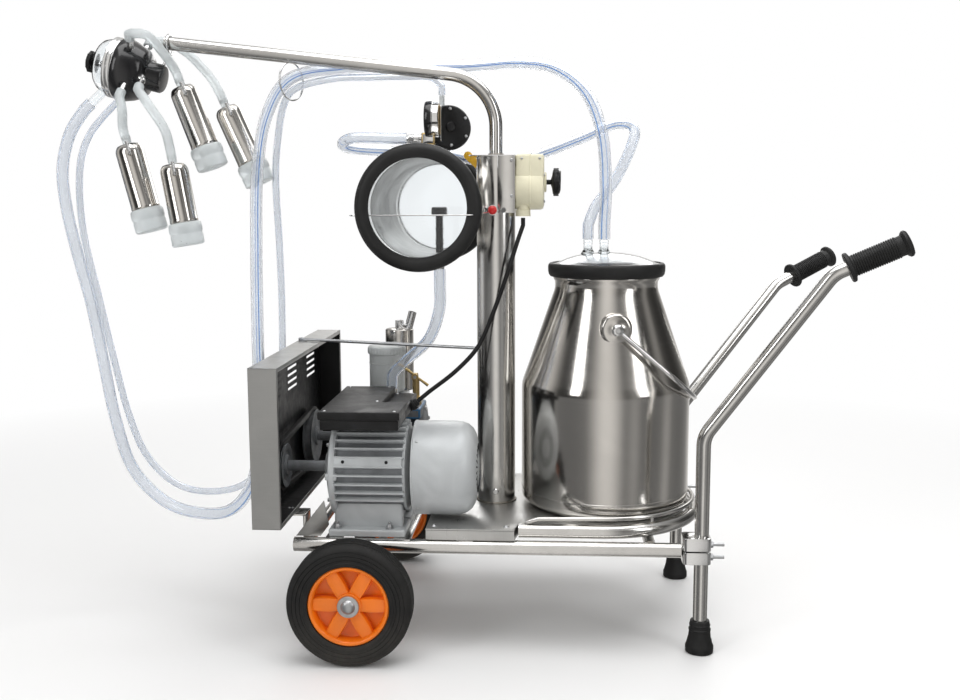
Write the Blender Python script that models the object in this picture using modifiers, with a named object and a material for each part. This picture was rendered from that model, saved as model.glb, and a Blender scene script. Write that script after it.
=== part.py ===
"""Trolley milking machine: vacuum pump set, balance tank, bucket and claw on one wheeled frame.

Metres, +Z up, +X towards the push handles. The post stands on the origin of the working frame;
the whole machine is then moved so that its own box is centred over the ground.
"""
import math

import bmesh
import bpy
from mathutils import Matrix, Vector

# ---------------------------------------------------------------- driving dimensions
GAP = 0.0003                    # clearance left between pieces that touch
PLACE = Vector((0.0286, -0.0278, 0.0))   # post axis in the finished machine's frame

TUBE_R = 0.0125                 # frame and handle tube
RAIL_Y = 0.190                  # side rails, either side of the middle
RAIL_Z = 0.179
RAIL_BACK = -0.345
RAIL_FRONT = 0.326
RAIL_TOP = RAIL_Z + TUBE_R
BAR_THICK = 0.004               # flat cross bars welded over the rails
DECK_TOP = 0.2125

WHEEL_X = -0.232
WHEEL_R = 0.106
WHEEL_WIDE = 0.052
WHEEL_FACE_Y = 0.297            # outer face of each wheel
RIM_R = 0.069
AXLE_R = 0.008
AXLE_HOLE_R = 0.0083

LEG_X = 0.361                   # the two handle tubes stand here
# each handle was bent by hand: height of its first bend, angles in degrees, run up to its second bend
NEAR_HANDLE = {"name": "near", "side": -1, "bend_z": 0.378, "twist": 8.0, "slope": 54.2, "run": 0.3417,
               "grip_rise": 24.3, "grip_from": 0.023}
FAR_HANDLE = {"name": "far", "side": 1, "bend_z": 0.350, "twist": 24.0, "slope": 47.7, "run": 0.3387,
              "grip_rise": 23.4, "grip_from": 0.040}
GRIP_LONG = 0.1036
GRIP_R = 0.0175

POST_R = 0.0354
COLLAR_LOW = 0.757
POST_TOP = 0.857
ARM_R = 0.0120
ARM_CORNER = Vector((0.0, 0.0, 0.993))
ARM_END = Vector((-0.608, 0.0, 1.064))
RING_X = -0.375
RING_R = 0.034

TANK_X = -0.124
TANK_Z = 0.763
TANK_R = 0.0875
TANK_NEAR_Y = -0.165
TANK_FAR_Y = 0.200
SEAL_R = 0.109
SEAL_LIP_R = 0.084
SEAL_DEEP = 0.030

MOTOR_Y = -0.110
MOTOR_Z = 0.300
MOTOR_R = 0.084
MOTOR_BACK = -0.300             # end shield, belt side
MOTOR_MID = -0.140              # where the fan cowl begins
SHAFT_R = 0.0095
PUMP_Y = 0.140
PUMP_R = 0.070
PULLEY_X = -0.383
MOTOR_PULLEY_R = 0.036
PUMP_PULLEY_R = 0.050
BELT_THICK = 0.008

GUARD_X0 = -0.4005
GUARD_X1 = -0.3515
GUARD_Y0 = -0.257
GUARD_Y1 = 0.290
GUARD_Z0 = 0.224
GUARD_Z1 = 0.500
SHEET = 0.0016

BUCKET_X = 0.203
BUCKET_R = 0.155
BUCKET_LOW = 0.2128
SHOULDER_Z = 0.440
NECK_Z = 0.632
NECK_R = 0.094
MOUTH_Z = 0.641
BUCKET_TURN = math.radians(6.2)  # the ears are turned a little from square
EAR_Z = 0.551
EAR_Y = 0.128
BAIL_LONG = 0.214
BAIL_DROP = math.radians(40.5)

CLAW_Z = 1.020
CLAW_AXIS_Y = 0.0

# cup name, top of shell, mouth end of shell
CUPS = (
    ("1", Vector((-0.667, -0.052, 0.878)), Vector((-0.638, -0.052, 0.762))),
    ("2", Vector((-0.581, -0.062, 0.842)), Vector((-0.564, -0.062, 0.737))),
    ("3", Vector((-0.582, 0.004, 0.985)), Vector((-0.542, 0.004, 0.876))),
    ("4", Vector((-0.513, 0.050, 0.951)), Vector((-0.468, 0.050, 0.847))),
)
CUP_R = 0.0250
HANG_R = 0.0175                 # loop that hangs the claw on the arm
# where each liner's short tube meets the claw, and which way the claw's nipple points there
NIPPLES = (
    ((-0.674, -0.052, 0.974), (-0.10, -0.62, -0.78)),
    ((-0.640, -0.054, 0.982), (0.10, -0.80, -0.60)),
    ((-0.6580, -0.0440, 1.0640), (0.185, -0.64, 0.747)),
    ((-0.6580, 0.0440, 1.0640), (0.185, 0.64, 0.747)),
)
TUBE_ROUTES = (
    ((-0.669, -0.066, 0.938),),
    ((-0.592, -0.070, 0.905), (-0.620, -0.072, 0.950)),
    ((-0.602, -0.024, 1.040), (-0.622, -0.052, 1.070)),
    ((-0.545, 0.056, 1.010), (-0.586, 0.060, 1.052), (-0.625, 0.060, 1.074)),
)

COLOURS = {
    "steel": ((0.72, 0.71, 0.69), 0.22, 1.0),
    "brushed": ((0.62, 0.62, 0.60), 0.38, 1.0),
    "zinc": ((0.66, 0.67, 0.68), 0.40, 1.0),
    "tyre": ((0.02, 0.02, 0.02), 0.85, 0.0),
    "orange": ((0.95, 0.25, 0.02), 0.40, 0.0),
    "black": ((0.02, 0.02, 0.022), 0.55, 0.0),
    "rubber": ((0.03, 0.03, 0.03), 0.70, 0.0),
    "grey_paint": ((0.52, 0.54, 0.55), 0.45, 0.0),
    "cream": ((0.84, 0.82, 0.68), 0.45, 0.0),
    "amber": ((0.80, 0.50, 0.03), 0.40, 0.0),
    "clear": ((0.85, 0.90, 0.94), 0.05, 0.0),
    "silicone": ((0.86, 0.88, 0.88), 0.45, 0.0),
    "hose": ((0.78, 0.86, 0.94), 0.15, 0.0),
    "milky": ((0.82, 0.84, 0.83), 0.50, 0.0),
    "brass": ((0.75, 0.60, 0.30), 0.35, 1.0),
    "blue": ((0.05, 0.22, 0.42), 0.45, 0.0),
}

parts = bpy.data.collections.new("milking_machine")
cutters = bpy.data.collections.new("cutters")


# ---------------------------------------------------------------- helpers
def start_scene():
    for ob in list(bpy.data.objects):
        bpy.data.objects.remove(ob, do_unlink=True)
    for collection in (parts, cutters):
        bpy.context.scene.collection.children.link(collection)


def paint(ob, colour):
    mat = bpy.data.materials.new(ob.name + "_" + colour)
    mat.use_nodes = True
    rgb, rough, metal = COLOURS[colour]
    shader = mat.node_tree.nodes["Principled BSDF"]
    shader.inputs["Base Color"].default_value = (*rgb, 1.0)
    shader.inputs["Roughness"].default_value = rough
    shader.inputs["Metallic"].default_value = metal
    ob.data.materials.clear()
    ob.data.materials.append(mat)


def keep(ob, colour):
    parts.objects.link(ob)
    paint(ob, colour)
    return ob


def smooth(ob):
    ob.data.shade_smooth()
    ob.data.set_sharp_from_angle(angle=math.radians(35))


def as_cutter(ob):
    cutters.objects.link(ob)
    ob.hide_render = True
    ob.display_type = "WIRE"
    return ob


def cut(ob, tool, operation="DIFFERENCE"):
    """Subtract (or join) one loose object; the tool goes to the cutters."""
    as_cutter(tool)
    mod = ob.modifiers.new(operation.lower(), "BOOLEAN")
    mod.operation = operation
    mod.solver = "EXACT"
    mod.object = tool
    return ob


def join(ob, tool):
    return cut(ob, tool, "UNION")


def new_mesh_object(name, bm):
    bmesh.ops.recalc_face_normals(bm, faces=bm.faces)
    mesh = bpy.data.meshes.new(name)
    bm.to_mesh(mesh)
    bm.free()
    return bpy.data.objects.new(name, mesh)


def box(name, low, high, bevel=0.0, segments=2):
    """Axis-aligned block between two corners, its edges rounded by bevel."""
    low, high = Vector(low), Vector(high)
    bm = bmesh.new()
    bmesh.ops.create_cube(bm, size=1.0)
    size = high - low
    bmesh.ops.scale(bm, vec=size, verts=bm.verts)
    ob = new_mesh_object(name, bm)
    ob.location = (low + high) / 2
    if bevel:
        mod = ob.modifiers.new("rounded", "BEVEL")
        mod.width = bevel
        mod.segments = segments
        mod.limit_method = "ANGLE"
    return ob


def turn_to(ob, direction):
    """Point the object's own +Z along a direction."""
    ob.rotation_euler = Vector(direction).to_track_quat("Z", "Y").to_euler()
    return ob


def rod(name, a, b, radius, sides=16):
    """Straight round bar from a to b."""
    a, b = Vector(a), Vector(b)
    bm = bmesh.new()
    bmesh.ops.create_cone(
        bm, cap_ends=True, segments=sides, radius1=radius, radius2=radius, depth=(b - a).length)
    ob = new_mesh_object(name, bm)
    ob.location = (a + b) / 2
    turn_to(ob, b - a)
    smooth(ob)
    return ob


def turned(name, profile, place, direction=(0, 0, 1), steps=24, closed=False):
    """Screw a profile of (radius, height) points round its axis, taken so that it runs down its outer side."""
    loop = list(zip(profile, profile[1:] + profile[:1]))
    if sum(r0 * z1 - r1 * z0 for (r0, z0), (r1, z1) in loop) > 0:
        profile = profile[::-1]
    count = len(profile)
    edges = [(i, i + 1) for i in range(count - 1)]
    if closed:
        edges.append((count - 1, 0))
    mesh = bpy.data.meshes.new(name)
    mesh.from_pydata([(r, 0.0, z) for r, z in profile], edges, [])
    ob = bpy.data.objects.new(name, mesh)
    mod = ob.modifiers.new("turned", "SCREW")
    mod.axis = "Z"
    mod.steps = steps
    mod.render_steps = steps
    mod.use_merge_vertices = True
    mod.merge_threshold = 0.00005
    mod.use_smooth_shade = True
    ob.location = Vector(place)
    turn_to(ob, direction)
    return ob


def fillet_path(points, radius, step=math.radians(15)):
    """Straight runs with an arc of the given radius at every inner point."""
    points = [Vector(p) for p in points]
    path = [points[0]]
    for before, corner, after in zip(points, points[1:], points[2:]):
        inward = (before - corner).normalized()
        outward = (after - corner).normalized()
        half = inward.angle(outward) / 2
        centre = corner + (inward + outward).normalized() * radius / math.sin(half)
        start = corner + inward * radius / math.tan(half)
        swing = math.pi - 2 * half
        axis = (start - centre).cross(outward).normalized()
        count = max(2, math.ceil(swing / step))
        for i in range(count + 1):
            path.append(centre + Matrix.Rotation(swing * i / count, 3, axis) @ (start - centre))
    path.append(points[-1])
    return path


def smooth_path(route, spacing):
    """Even points along a smooth curve through the route's own points."""
    route = [Vector(p) for p in route]
    ends = [2 * route[0] - route[1]] + route + [2 * route[-1] - route[-2]]
    dense = []
    for p0, p1, p2, p3 in zip(ends, ends[1:], ends[2:], ends[3:]):
        for i in range(24):
            t = i / 24
            dense.append(0.5 * (
                2 * p1 + (p2 - p0) * t + (2 * p0 - 5 * p1 + 4 * p2 - p3) * t ** 2
                + (3 * p1 - p0 - 3 * p2 + p3) * t ** 3))
    dense.append(route[-1])
    lengths = [0.0]
    for a, b in zip(dense, dense[1:]):
        lengths.append(lengths[-1] + (b - a).length)
    count = max(3, round(lengths[-1] / spacing))
    path = []
    j = 0
    for i in range(count + 1):
        goal = lengths[-1] * i / count
        while j < len(dense) - 2 and lengths[j + 1] < goal:
            j += 1
        share = (goal - lengths[j]) / (lengths[j + 1] - lengths[j])
        path.append(dense[j].lerp(dense[j + 1], min(1.0, share)))
    return path


def tube(name, path, radius, resolution=3, cyclic=False):
    """Round tube or wire along a path, with filled caps."""
    curve = bpy.data.curves.new(name, "CURVE")
    curve.dimensions = "3D"
    curve.bevel_depth = radius
    curve.bevel_resolution = resolution
    curve.use_fill_caps = True
    spline = curve.splines.new("POLY")
    spline.points.add(len(path) - 1)
    for point, place in zip(spline.points, path):
        point.co = (*place, 1.0)
    spline.use_cyclic_u = cyclic
    return bpy.data.objects.new(name, curve)


def flat(name, outlines, thickness, place, x_axis, y_axis):
    """Flat plate: outlines in its own plane, half its thickness to each side."""
    curve = bpy.data.curves.new(name, "CURVE")
    curve.dimensions = "2D"
    curve.fill_mode = "BOTH"
    curve.extrude = thickness / 2
    for outline in outlines:
        spline = curve.splines.new("POLY")
        spline.points.add(len(outline) - 1)
        for point, (x, y) in zip(spline.points, outline):
            point.co = (x, y, 0.0, 1.0)
        spline.use_cyclic_u = True
    ob = bpy.data.objects.new(name, curve)
    x_axis, y_axis = Vector(x_axis).normalized(), Vector(y_axis).normalized()
    turn = Matrix((x_axis, y_axis, x_axis.cross(y_axis))).transposed()
    ob.matrix_world = Matrix.Translation(Vector(place)) @ turn.to_4x4()
    return ob


def as_mesh(ob):
    """Turn a loose curve object into a mesh object with welded caps."""
    parts.objects.link(ob)
    bpy.context.view_layer.update()
    ready = ob.evaluated_get(bpy.context.evaluated_depsgraph_get())
    mesh = bpy.data.meshes.new_from_object(ready)
    bm = bmesh.new()
    bm.from_mesh(mesh)
    bmesh.ops.remove_doubles(bm, verts=bm.verts, dist=0.00002)
    bmesh.ops.recalc_face_normals(bm, faces=bm.faces)
    bm.to_mesh(mesh)
    bm.free()
    name = ob.name
    solid = bpy.data.objects.new(name + "_solid", mesh)
    solid.matrix_world = ob.matrix_world.copy()
    curve = ob.data
    bpy.data.objects.remove(ob, do_unlink=True)
    bpy.data.curves.remove(curve)
    solid.name = name
    smooth(solid)
    return solid


def arc(centre, radius, start, end, count):
    """Points on an arc, angles in degrees."""
    return [(centre[0] + radius * math.cos(math.radians(start + (end - start) * i / count)),
             centre[1] + radius * math.sin(math.radians(start + (end - start) * i / count)))
            for i in range(count + 1)]


# ---------------------------------------------------------------- frame and deck
def frame():
    """Two side rails, a back tube, two flat bars, axle brackets and the fixed axle, welded into one."""
    rail = rod("frame_weldment", (RAIL_BACK, -RAIL_Y, RAIL_Z), (RAIL_FRONT, -RAIL_Y, RAIL_Z), TUBE_R)
    join(rail, rod("far_rail", (RAIL_BACK, RAIL_Y, RAIL_Z), (RAIL_FRONT, RAIL_Y, RAIL_Z), TUBE_R))
    for x in (RAIL_BACK + 0.02, RAIL_FRONT - 0.05):
        join(rail, rod("cross_tube", (x, -RAIL_Y, RAIL_Z), (x, RAIL_Y, RAIL_Z), 0.010))
    for x in (-0.290, -0.170, -0.060):
        join(rail, box("cross_bar", (x, -RAIL_Y - 0.006, RAIL_TOP - BAR_THICK),
                       (x + 0.030, RAIL_Y + 0.006, RAIL_TOP + 0.0006)))
    for side in (-1, 1):
        outline = [(-0.030, 0.0), (0.030, 0.0), (0.016, -0.090), (-0.016, -0.090)]
        plate = flat("axle_bracket", [outline], 0.005, (WHEEL_X, side * RAIL_Y, RAIL_Z), (1, 0, 0), (0, 0, 1))
        join(rail, as_mesh(plate))
    for y in (-0.140, 0.140):
        join(rail, box("guard_shelf", (-0.392, y - 0.020, GUARD_Z0 - 0.0036),
                       (-0.331, y + 0.020, GUARD_Z0 - GAP)))
        join(rail, box("guard_upright", (-0.336, y - 0.020, RAIL_Z), (-0.331, y + 0.020, GUARD_Z0 - 0.001)))
    reach = WHEEL_FACE_Y - 0.006
    join(rail, rod("axle", (WHEEL_X, -reach, WHEEL_R), (WHEEL_X, reach, WHEEL_R), AXLE_R))
    keep(rail, "steel")


def deck():
    """Folded tray: wide under the post, narrower and round-ended inside the bucket's guard tube."""
    outline = [(-0.112, -0.196), (0.040, -0.196), (0.046, -0.160), (0.190, -0.160)]
    outline += arc((0.190, 0.0), 0.160, -80, 80, 12)
    outline += [(0.190, 0.160), (0.046, 0.160), (0.040, 0.196), (-0.112, 0.196)]
    low = RAIL_TOP + 0.0006 + GAP
    plate = as_mesh(flat("deck_plate", [outline], DECK_TOP - low, (0, 0, (DECK_TOP + low) / 2),
                         (1, 0, 0), (0, 1, 0)))
    cut(plate, box("tray_back", (-0.109, -0.193, low - 0.01), (0.038, 0.193, DECK_TOP - 0.003)))
    cut(plate, box("tray_front", (0.045, -0.100, low - 0.01), (0.290, 0.100, DECK_TOP - 0.003)))
    keep(plate, "brushed")


def bucket_guard():
    """U-bent tube round the bucket's foot, square ends beside the post."""
    z = RAIL_TOP + TUBE_R + 0.0006 + GAP
    path = [Vector((0.0475, -0.175, z)), Vector((0.120, -0.175, z))]
    path += [Vector((x, y, z)) for x, y in arc((0.192, 0.0), 0.175, -90, 90, 14)]
    path += [Vector((0.120, 0.175, z)), Vector((0.0475, 0.175, z))]
    keep(tube("bucket_guard_tube", path, TUBE_R - 0.0005, 3), "steel")


# ---------------------------------------------------------------- wheels
def wheel(name, side):
    """Solid tyre on a six-spoke rim; both turn on the fixed axle."""
    outer = side * WHEEL_FACE_Y
    direction = (0, side, 0)
    w = WHEEL_WIDE
    tread = [(RIM_R + GAP, 0.0), (RIM_R + 0.006, 0.002), (WHEEL_R - 0.008, 0.001), (WHEEL_R, -0.008)]
    tread += [(WHEEL_R, -w * 0.5 + 0.003), (WHEEL_R - 0.003, -w * 0.5), (WHEEL_R, -w * 0.5 - 0.003)]
    tread += [(WHEEL_R, -w + 0.008), (WHEEL_R - 0.008, -w), (RIM_R + GAP, -w + 0.002)]
    place = (WHEEL_X, outer, WHEEL_R)
    tyre = turned("tyre_" + name, tread, place, direction, 32, closed=True)
    keep(tyre, "tyre")
    # rim: dished between the outer ring and the hub, bored for the axle
    profile = [
        (AXLE_HOLE_R, -0.004), (0.021, -0.004), (0.022, -0.010), (0.024, -0.024), (0.060, -0.024),
        (0.062, -0.003), (RIM_R, -0.001), (RIM_R, -w + 0.003), (0.062, -w + 0.003), (0.060, -0.034),
        (0.022, -0.034), (0.018, -w - 0.001), (AXLE_HOLE_R, -w - 0.001)]
    rim = turned("rim_" + name, profile, place, direction, 24, closed=True)
    for i in range(6):
        angle = math.radians(60 * i)
        spoke = box("spoke", (0.0185, -0.009, -0.0285), (0.0615, 0.009, -0.008), 0.004, 1)
        turn = spoke.matrix_basis
        aim = Vector(direction).to_track_quat("Z", "Y").to_matrix().to_4x4()
        about = Matrix.Translation(Vector(place)) @ aim
        spoke.matrix_basis = about @ Matrix.Rotation(angle, 4, "Z") @ turn
        join(rim, spoke)
    keep(rim, "orange")


# ---------------------------------------------------------------- handles
def handle_points(spec):
    """Bend and end points of one handle tube, leg first."""
    twist = math.radians(spec["twist"])
    away = Vector((math.cos(twist), spec["side"] * math.sin(twist), 0.0))
    foot = Vector((LEG_X, spec["side"] * RAIL_Y, 0.014))
    low_bend = Vector((LEG_X, spec["side"] * RAIL_Y, spec["bend_z"]))
    slope = math.radians(spec["slope"])
    top_bend = low_bend + spec["run"] * (math.cos(slope) * away + math.sin(slope) * Vector((0, 0, 1)))
    rise = math.radians(spec["grip_rise"])
    along = math.cos(rise) * away + math.sin(rise) * Vector((0, 0, 1))
    return foot, low_bend, top_bend, along


def handle(spec):
    foot, low_bend, top_bend, along = handle_points(spec)
    grip_start = top_bend + spec["grip_from"] * along
    grip_end = grip_start + GRIP_LONG * along
    path = fillet_path([foot, low_bend, top_bend, grip_end - 0.012 * along], 0.050)
    keep(tube("handle_" + spec["name"], path, TUBE_R - 0.0005, 3), "steel")
    # rubber foot: a cup round the bottom of the leg
    base = Vector((foot.x, foot.y, 0.0))
    bore = TUBE_R - 0.0002
    profile = [(0.0, 0.010), (bore, 0.010), (bore, 0.056), (0.0165, 0.056), (0.0180, 0.052),
               (0.0195, 0.030), (0.0240, 0.012), (0.0240, 0.0), (0.0, 0.0)]
    keep(turned("foot_" + spec["name"], profile, base, (0, 0, 1), 16), "rubber")
    # grip: flanged sleeve, closed at its end
    profile = [(0.0, GRIP_LONG), (0.020, GRIP_LONG), (0.0225, GRIP_LONG - 0.006), (0.018, GRIP_LONG - 0.014),
               (GRIP_R, GRIP_LONG - 0.020), (GRIP_R, 0.012), (0.0185, 0.007), (0.025, 0.005), (0.025, 0.0),
               (bore, 0.0), (bore, GRIP_LONG - 0.010), (0.0, GRIP_LONG - 0.010)]
    keep(turned("grip_" + spec["name"], profile, grip_start, along, 16), "rubber")


def clamp(name, side):
    """Block bolted round the leg, with two bolts standing out towards the handles."""
    y = side * RAIL_Y
    block = box("clamp_" + name, (RAIL_FRONT + 0.0006, y - 0.020, 0.160), (0.383, y + 0.020, 0.206), 0.004, 1)
    cut(block, rod("leg_bore", (LEG_X, y, 0.10), (LEG_X, y, 0.30), TUBE_R + 0.0003))
    for z in (0.172, 0.194):
        join(block, rod("bolt", (0.375, y - 0.010, z), (0.394, y - 0.010, z), 0.0045, 8))
    keep(block, "zinc")


# ---------------------------------------------------------------- post and arm
def post():
    """Upright tube with a cap plate, a slotted switch bracket and a small tapped boss."""
    column = rod("post", (0, 0, DECK_TOP + GAP), (0, 0, POST_TOP - 0.001), POST_R, 32)
    join(column, box("cap_plate", (-0.047, -0.030, POST_TOP - 0.003), (0.0285, 0.034, POST_TOP)))
    bracket = box("switch_bracket", (0.0270, -0.040, COLLAR_LOW - 0.004), (0.0358, 0.034, POST_TOP - 0.002))
    join(column, bracket)
    join(column, rod("boss", (-0.004, -0.030, 0.758), (-0.004, -0.048, 0.758), 0.011))
    keep(column, "steel")


def arm():
    """Bent hanging arm with a wire ring under it for the hoses."""
    path = fillet_path([(0, 0, POST_TOP + GAP), ARM_CORNER, ARM_END], 0.095, math.radians(10))
    bent = as_mesh(tube("arm", path, ARM_R, 3))
    slope = (ARM_END.z - ARM_CORNER.z) / (ARM_END.x - ARM_CORNER.x)
    under = ARM_CORNER.z + slope * RING_X - ARM_R
    centre = Vector((RING_X, 0.0, under - RING_R + 0.002))
    across = Vector((0.42, 0.907, 0.0))
    ring = [centre + RING_R * (math.cos(a) * across + math.sin(a) * Vector((0, 0, 1)))
            for a in (math.radians(18 * i) for i in range(20))]
    join(bent, as_mesh(tube("hose_ring", ring, 0.0016, 2, cyclic=True)))
    keep(bent, "steel")


def switch():
    """Two-part switch box on the bracket, with its turning knob and a cable gland below."""
    shell = box("switch_box", (0.0362, -0.030, 0.803), (0.0905, 0.034, 0.858), 0.005)
    join(shell, rod("round_body", (0.0364, 0.002, 0.797), (0.0880, 0.002, 0.797), 0.039, 24))
    join(shell, rod("conduit_entry", (0.050, -0.012, 0.775), (0.050, -0.012, 0.744), 0.0125, 12))
    cut(shell, rod("spindle_hole", (0.082, 0.002, 0.808), (0.100, 0.002, 0.808), 0.0050))
    keep(shell, "cream")
    profile = [(0.0, 0.030), (0.020, 0.030), (0.0235, 0.027), (0.0245, 0.021), (0.0225, 0.015),
               (0.0045, 0.013), (0.0045, 0.0), (0.0, 0.0)]
    keep(turned("switch_knob", profile, (0.0885, 0.002, 0.808), (1, 0, 0), 20), "black")


def valve():
    """Ball valve behind the post with a flat lever, and its nipple into the post."""
    x, z = -0.028, 0.832
    body = rod("vacuum_valve", (x, POST_R + 0.0006, z), (x, 0.064, z), 0.0100, 12)
    join(body, box("valve_hexagon", (x - 0.013, 0.044, z - 0.013), (x + 0.013, 0.058, z + 0.013)))
    join(body, rod("outlet", (x, 0.051, z), (x, 0.051, z + 0.024), 0.008, 12))
    join(body, rod("stem", (x, 0.060, z), (x, 0.069, z), 0.004, 10))
    keep(body, "zinc")
    outline = arc((0.0, 0.0), 0.009, 90, 270, 6) + [(0.040, -0.006)]
    outline += arc((0.040, 0.0), 0.006, -90, 90, 4)[1:]
    lever = flat("valve_lever", [outline, arc((0.0, 0.0), 0.0044, 0, 330, 11)], 0.003,
                 (x, 0.0667, z), (-0.72, 0, 0.69), (0.69, 0, 0.72))
    keep(as_mesh(lever), "amber")


# ---------------------------------------------------------------- tank
def tank():
    """Clear-ended vacuum tank lying across the machine, its ends held in rubber rings."""
    inside = TANK_R - 0.002
    length = TANK_FAR_Y - TANK_NEAR_Y
    profile = [(inside, length), (TANK_R, length), (TANK_R, 0.0), (inside, 0.0)]
    shell = turned("tank_shell", profile, (TANK_X, TANK_NEAR_Y, TANK_Z), (0, 1, 0), 24, closed=True)
    low = TANK_Z - TANK_R
    join(shell, rod("outlet", (-0.108, 0.030, low + 0.0006), (-0.108, 0.030, low - 0.028), 0.009))
    join(shell, rod("standpipe", (-0.108, 0.030, low + 0.0002), (-0.108, 0.030, TANK_Z - 0.004), 0.0065, 12))
    join(shell, rod("standpipe_tee", (-0.119, 0.030, TANK_Z - 0.008),
                    (-0.097, 0.030, TANK_Z - 0.008), 0.008, 12))
    join(shell, box("bracket", (-0.062, -0.012, TANK_Z - 0.016), (-POST_R - 0.0006, 0.012, TANK_Z + 0.016)))
    cut(shell, rod("bracket_clearance", (TANK_X, TANK_NEAR_Y - 0.01, TANK_Z),
                   (TANK_X, -0.0125, TANK_Z), inside - 0.0004, 32))
    keep(shell, "steel")
    for name, y, direction in (("near", TANK_NEAR_Y, -1), ("far", TANK_FAR_Y, 1)):
        # heights run outwards from the drum's end; the drum end sits 15 mm inside the ring
        top = 0.0145
        groove = SEAL_LIP_R + 0.0035
        profile = [
            (SEAL_LIP_R, top), (SEAL_R - 0.008, top + 0.001), (SEAL_R, top - 0.007),
            (SEAL_R, top - SEAL_DEEP + 0.007), (SEAL_R - 0.008, top - SEAL_DEEP),
            (TANK_R + GAP, top - SEAL_DEEP), (TANK_R + GAP, 0.0006), (groove, 0.0006),
            (groove, 0.0066), (SEAL_LIP_R, 0.0066)]
        ring = turned("tank_seal_" + name, profile, (TANK_X, y, TANK_Z), (0, direction, 0), 24, closed=True)
        keep(ring, "rubber")
        profile = [(0.0, 0.0063), (groove - GAP, 0.0063), (groove - GAP, 0.0009), (0.0, 0.0009)]
        disc = turned("tank_window_" + name, profile, (TANK_X, y, TANK_Z), (0, direction, 0), 24)
        keep(disc, "clear")


def gauge():
    """Vacuum gauge on a tee above the tank, with its needle, and the pulsator behind it."""
    z = 0.922
    case = [(0.0, 0.0), (0.0330, 0.0), (0.0335, -0.020), (0.0315, -0.026), (0.0275, -0.026),
            (0.0275, -0.012), (0.0, -0.012)]
    body = turned("gauge_case", [(r, -h) for r, h in reversed(case)], (-0.1030, 0.0, z), (-1, 0, 0), 24)
    join(body, rod("gauge_stem", (-0.122, 0.0, z - 0.030), (-0.122, 0.0, 0.8595), 0.006, 12))
    join(body, box("tee", (-0.136, -0.011, 0.876), (-0.111, 0.011, 0.900), 0.003, 1))
    join(body, rod("tank_nipple", (-0.122, 0.0, 0.878), (-0.122, 0.0, TANK_Z + TANK_R + 0.0006), 0.010, 12))
    join(body, rod("nozzle", (-0.134, 0.0, 0.888), (-0.164, 0.0, 0.888), 0.0085, 12))
    join(body, rod("pulsator_link", (-0.120, 0.009, 0.886), (-0.120, 0.0395, 0.886), 0.006, 10))
    keep(body, "brushed")
    needle = box("gauge_needle", (-0.1200, -0.0012, z - 0.006), (-0.1185, 0.0012, z + 0.021))
    join(needle, rod("needle_hub", (-0.1200, 0.0, z), (-0.1165, 0.0, z), 0.003, 10))
    keep(needle, "black")
    profile = [(0.0, 0.006), (0.020, 0.005), (0.0400, 0.0), (0.0420, -0.004), (0.0420, -0.012),
               (0.0400, -0.016), (0.026, -0.022), (0.0, -0.024)]
    puck = turned("pulsator", profile, (-0.090, 0.062, 0.912), (0.38, -0.92, 0.10), 24)
    join(puck, rod("pulse_nozzle", (-0.105, 0.066, 0.936), (-0.105, 0.066, 0.972), 0.005, 10))
    keep(puck, "black")


# ---------------------------------------------------------------- motor, pump and belt
def motor():
    """Ribbed motor housing open at the fan end, the cowl over it and the capacitor box on top."""
    profile = [
        (0.0110, 0.0), (0.030, 0.0), (0.034, 0.008), (0.070, 0.012), (0.080, 0.020), (0.0800, 0.150),
        (0.0560, 0.160), (0.0560, 0.020), (0.0110, 0.010)]
    length = MOTOR_MID - MOTOR_BACK
    body = turned("motor_body", [(r, length - h) for r, h in profile],
                  (MOTOR_MID, MOTOR_Y, MOTOR_Z), (-1, 0, 0), 24, closed=True)
    # cooling ribs run along the housing; the foot block stands on the cross bars
    for i in range(12):
        angle = math.radians(-37 + 254 * i / 11)
        radial = Vector((0.0, -math.cos(angle), math.sin(angle)))
        rib = box("rib", (-0.065, -0.0013, -0.004), (0.065, 0.0013, 0.0045))
        turn = Matrix((Vector((1, 0, 0)), radial.cross(Vector((1, 0, 0))), radial)).transposed().to_4x4()
        centre = Vector((-0.215, MOTOR_Y, MOTOR_Z)) + radial * 0.0810
        rib.matrix_basis = Matrix.Translation(centre) @ turn
        join(body, rib)
    foot_top = MOTOR_Z - 0.060
    foot_low = RAIL_TOP + 0.0006 + GAP
    join(body, box("foot", (-0.285, MOTOR_Y - 0.078, foot_low), (-0.150, MOTOR_Y + 0.078, foot_low + 0.012)))
    join(body, box("pedestal", (-0.275, MOTOR_Y - 0.055, foot_low + 0.004),
                   (-0.160, MOTOR_Y + 0.055, foot_top)))
    keep(body, "grey_paint")
    cowl = [(0.0, 0.114), (0.030, 0.114), (0.062, 0.110), (0.078, 0.100), (MOTOR_R, 0.084), (MOTOR_R, 0.0006),
            (MOTOR_R - 0.002, 0.0006), (MOTOR_R - 0.002, 0.083), (0.076, 0.098), (0.061, 0.108), (0.0, 0.112)]
    cover = turned("motor_cowl", cowl, (MOTOR_MID, MOTOR_Y, MOTOR_Z), (1, 0, 0), 24)
    keep(cover, "grey_paint")
    lid = box("terminal_box", (-0.287, -0.236, 0.3915), (-0.152, 0.022, 0.424), 0.004, 1)
    cut(lid, box("notch", (-0.196, -0.140, 0.412), (-0.140, 0.040, 0.430)))
    cut(lid, rod("motor_clearance", (-0.31, MOTOR_Y, MOTOR_Z), (-0.12, MOTOR_Y, MOTOR_Z), 0.0905, 32))
    join(lid, rod("cable_entry", (-0.160, -0.060, 0.3952), (-0.141, -0.060, 0.411), 0.0075, 12))
    keep(lid, "black")


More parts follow.
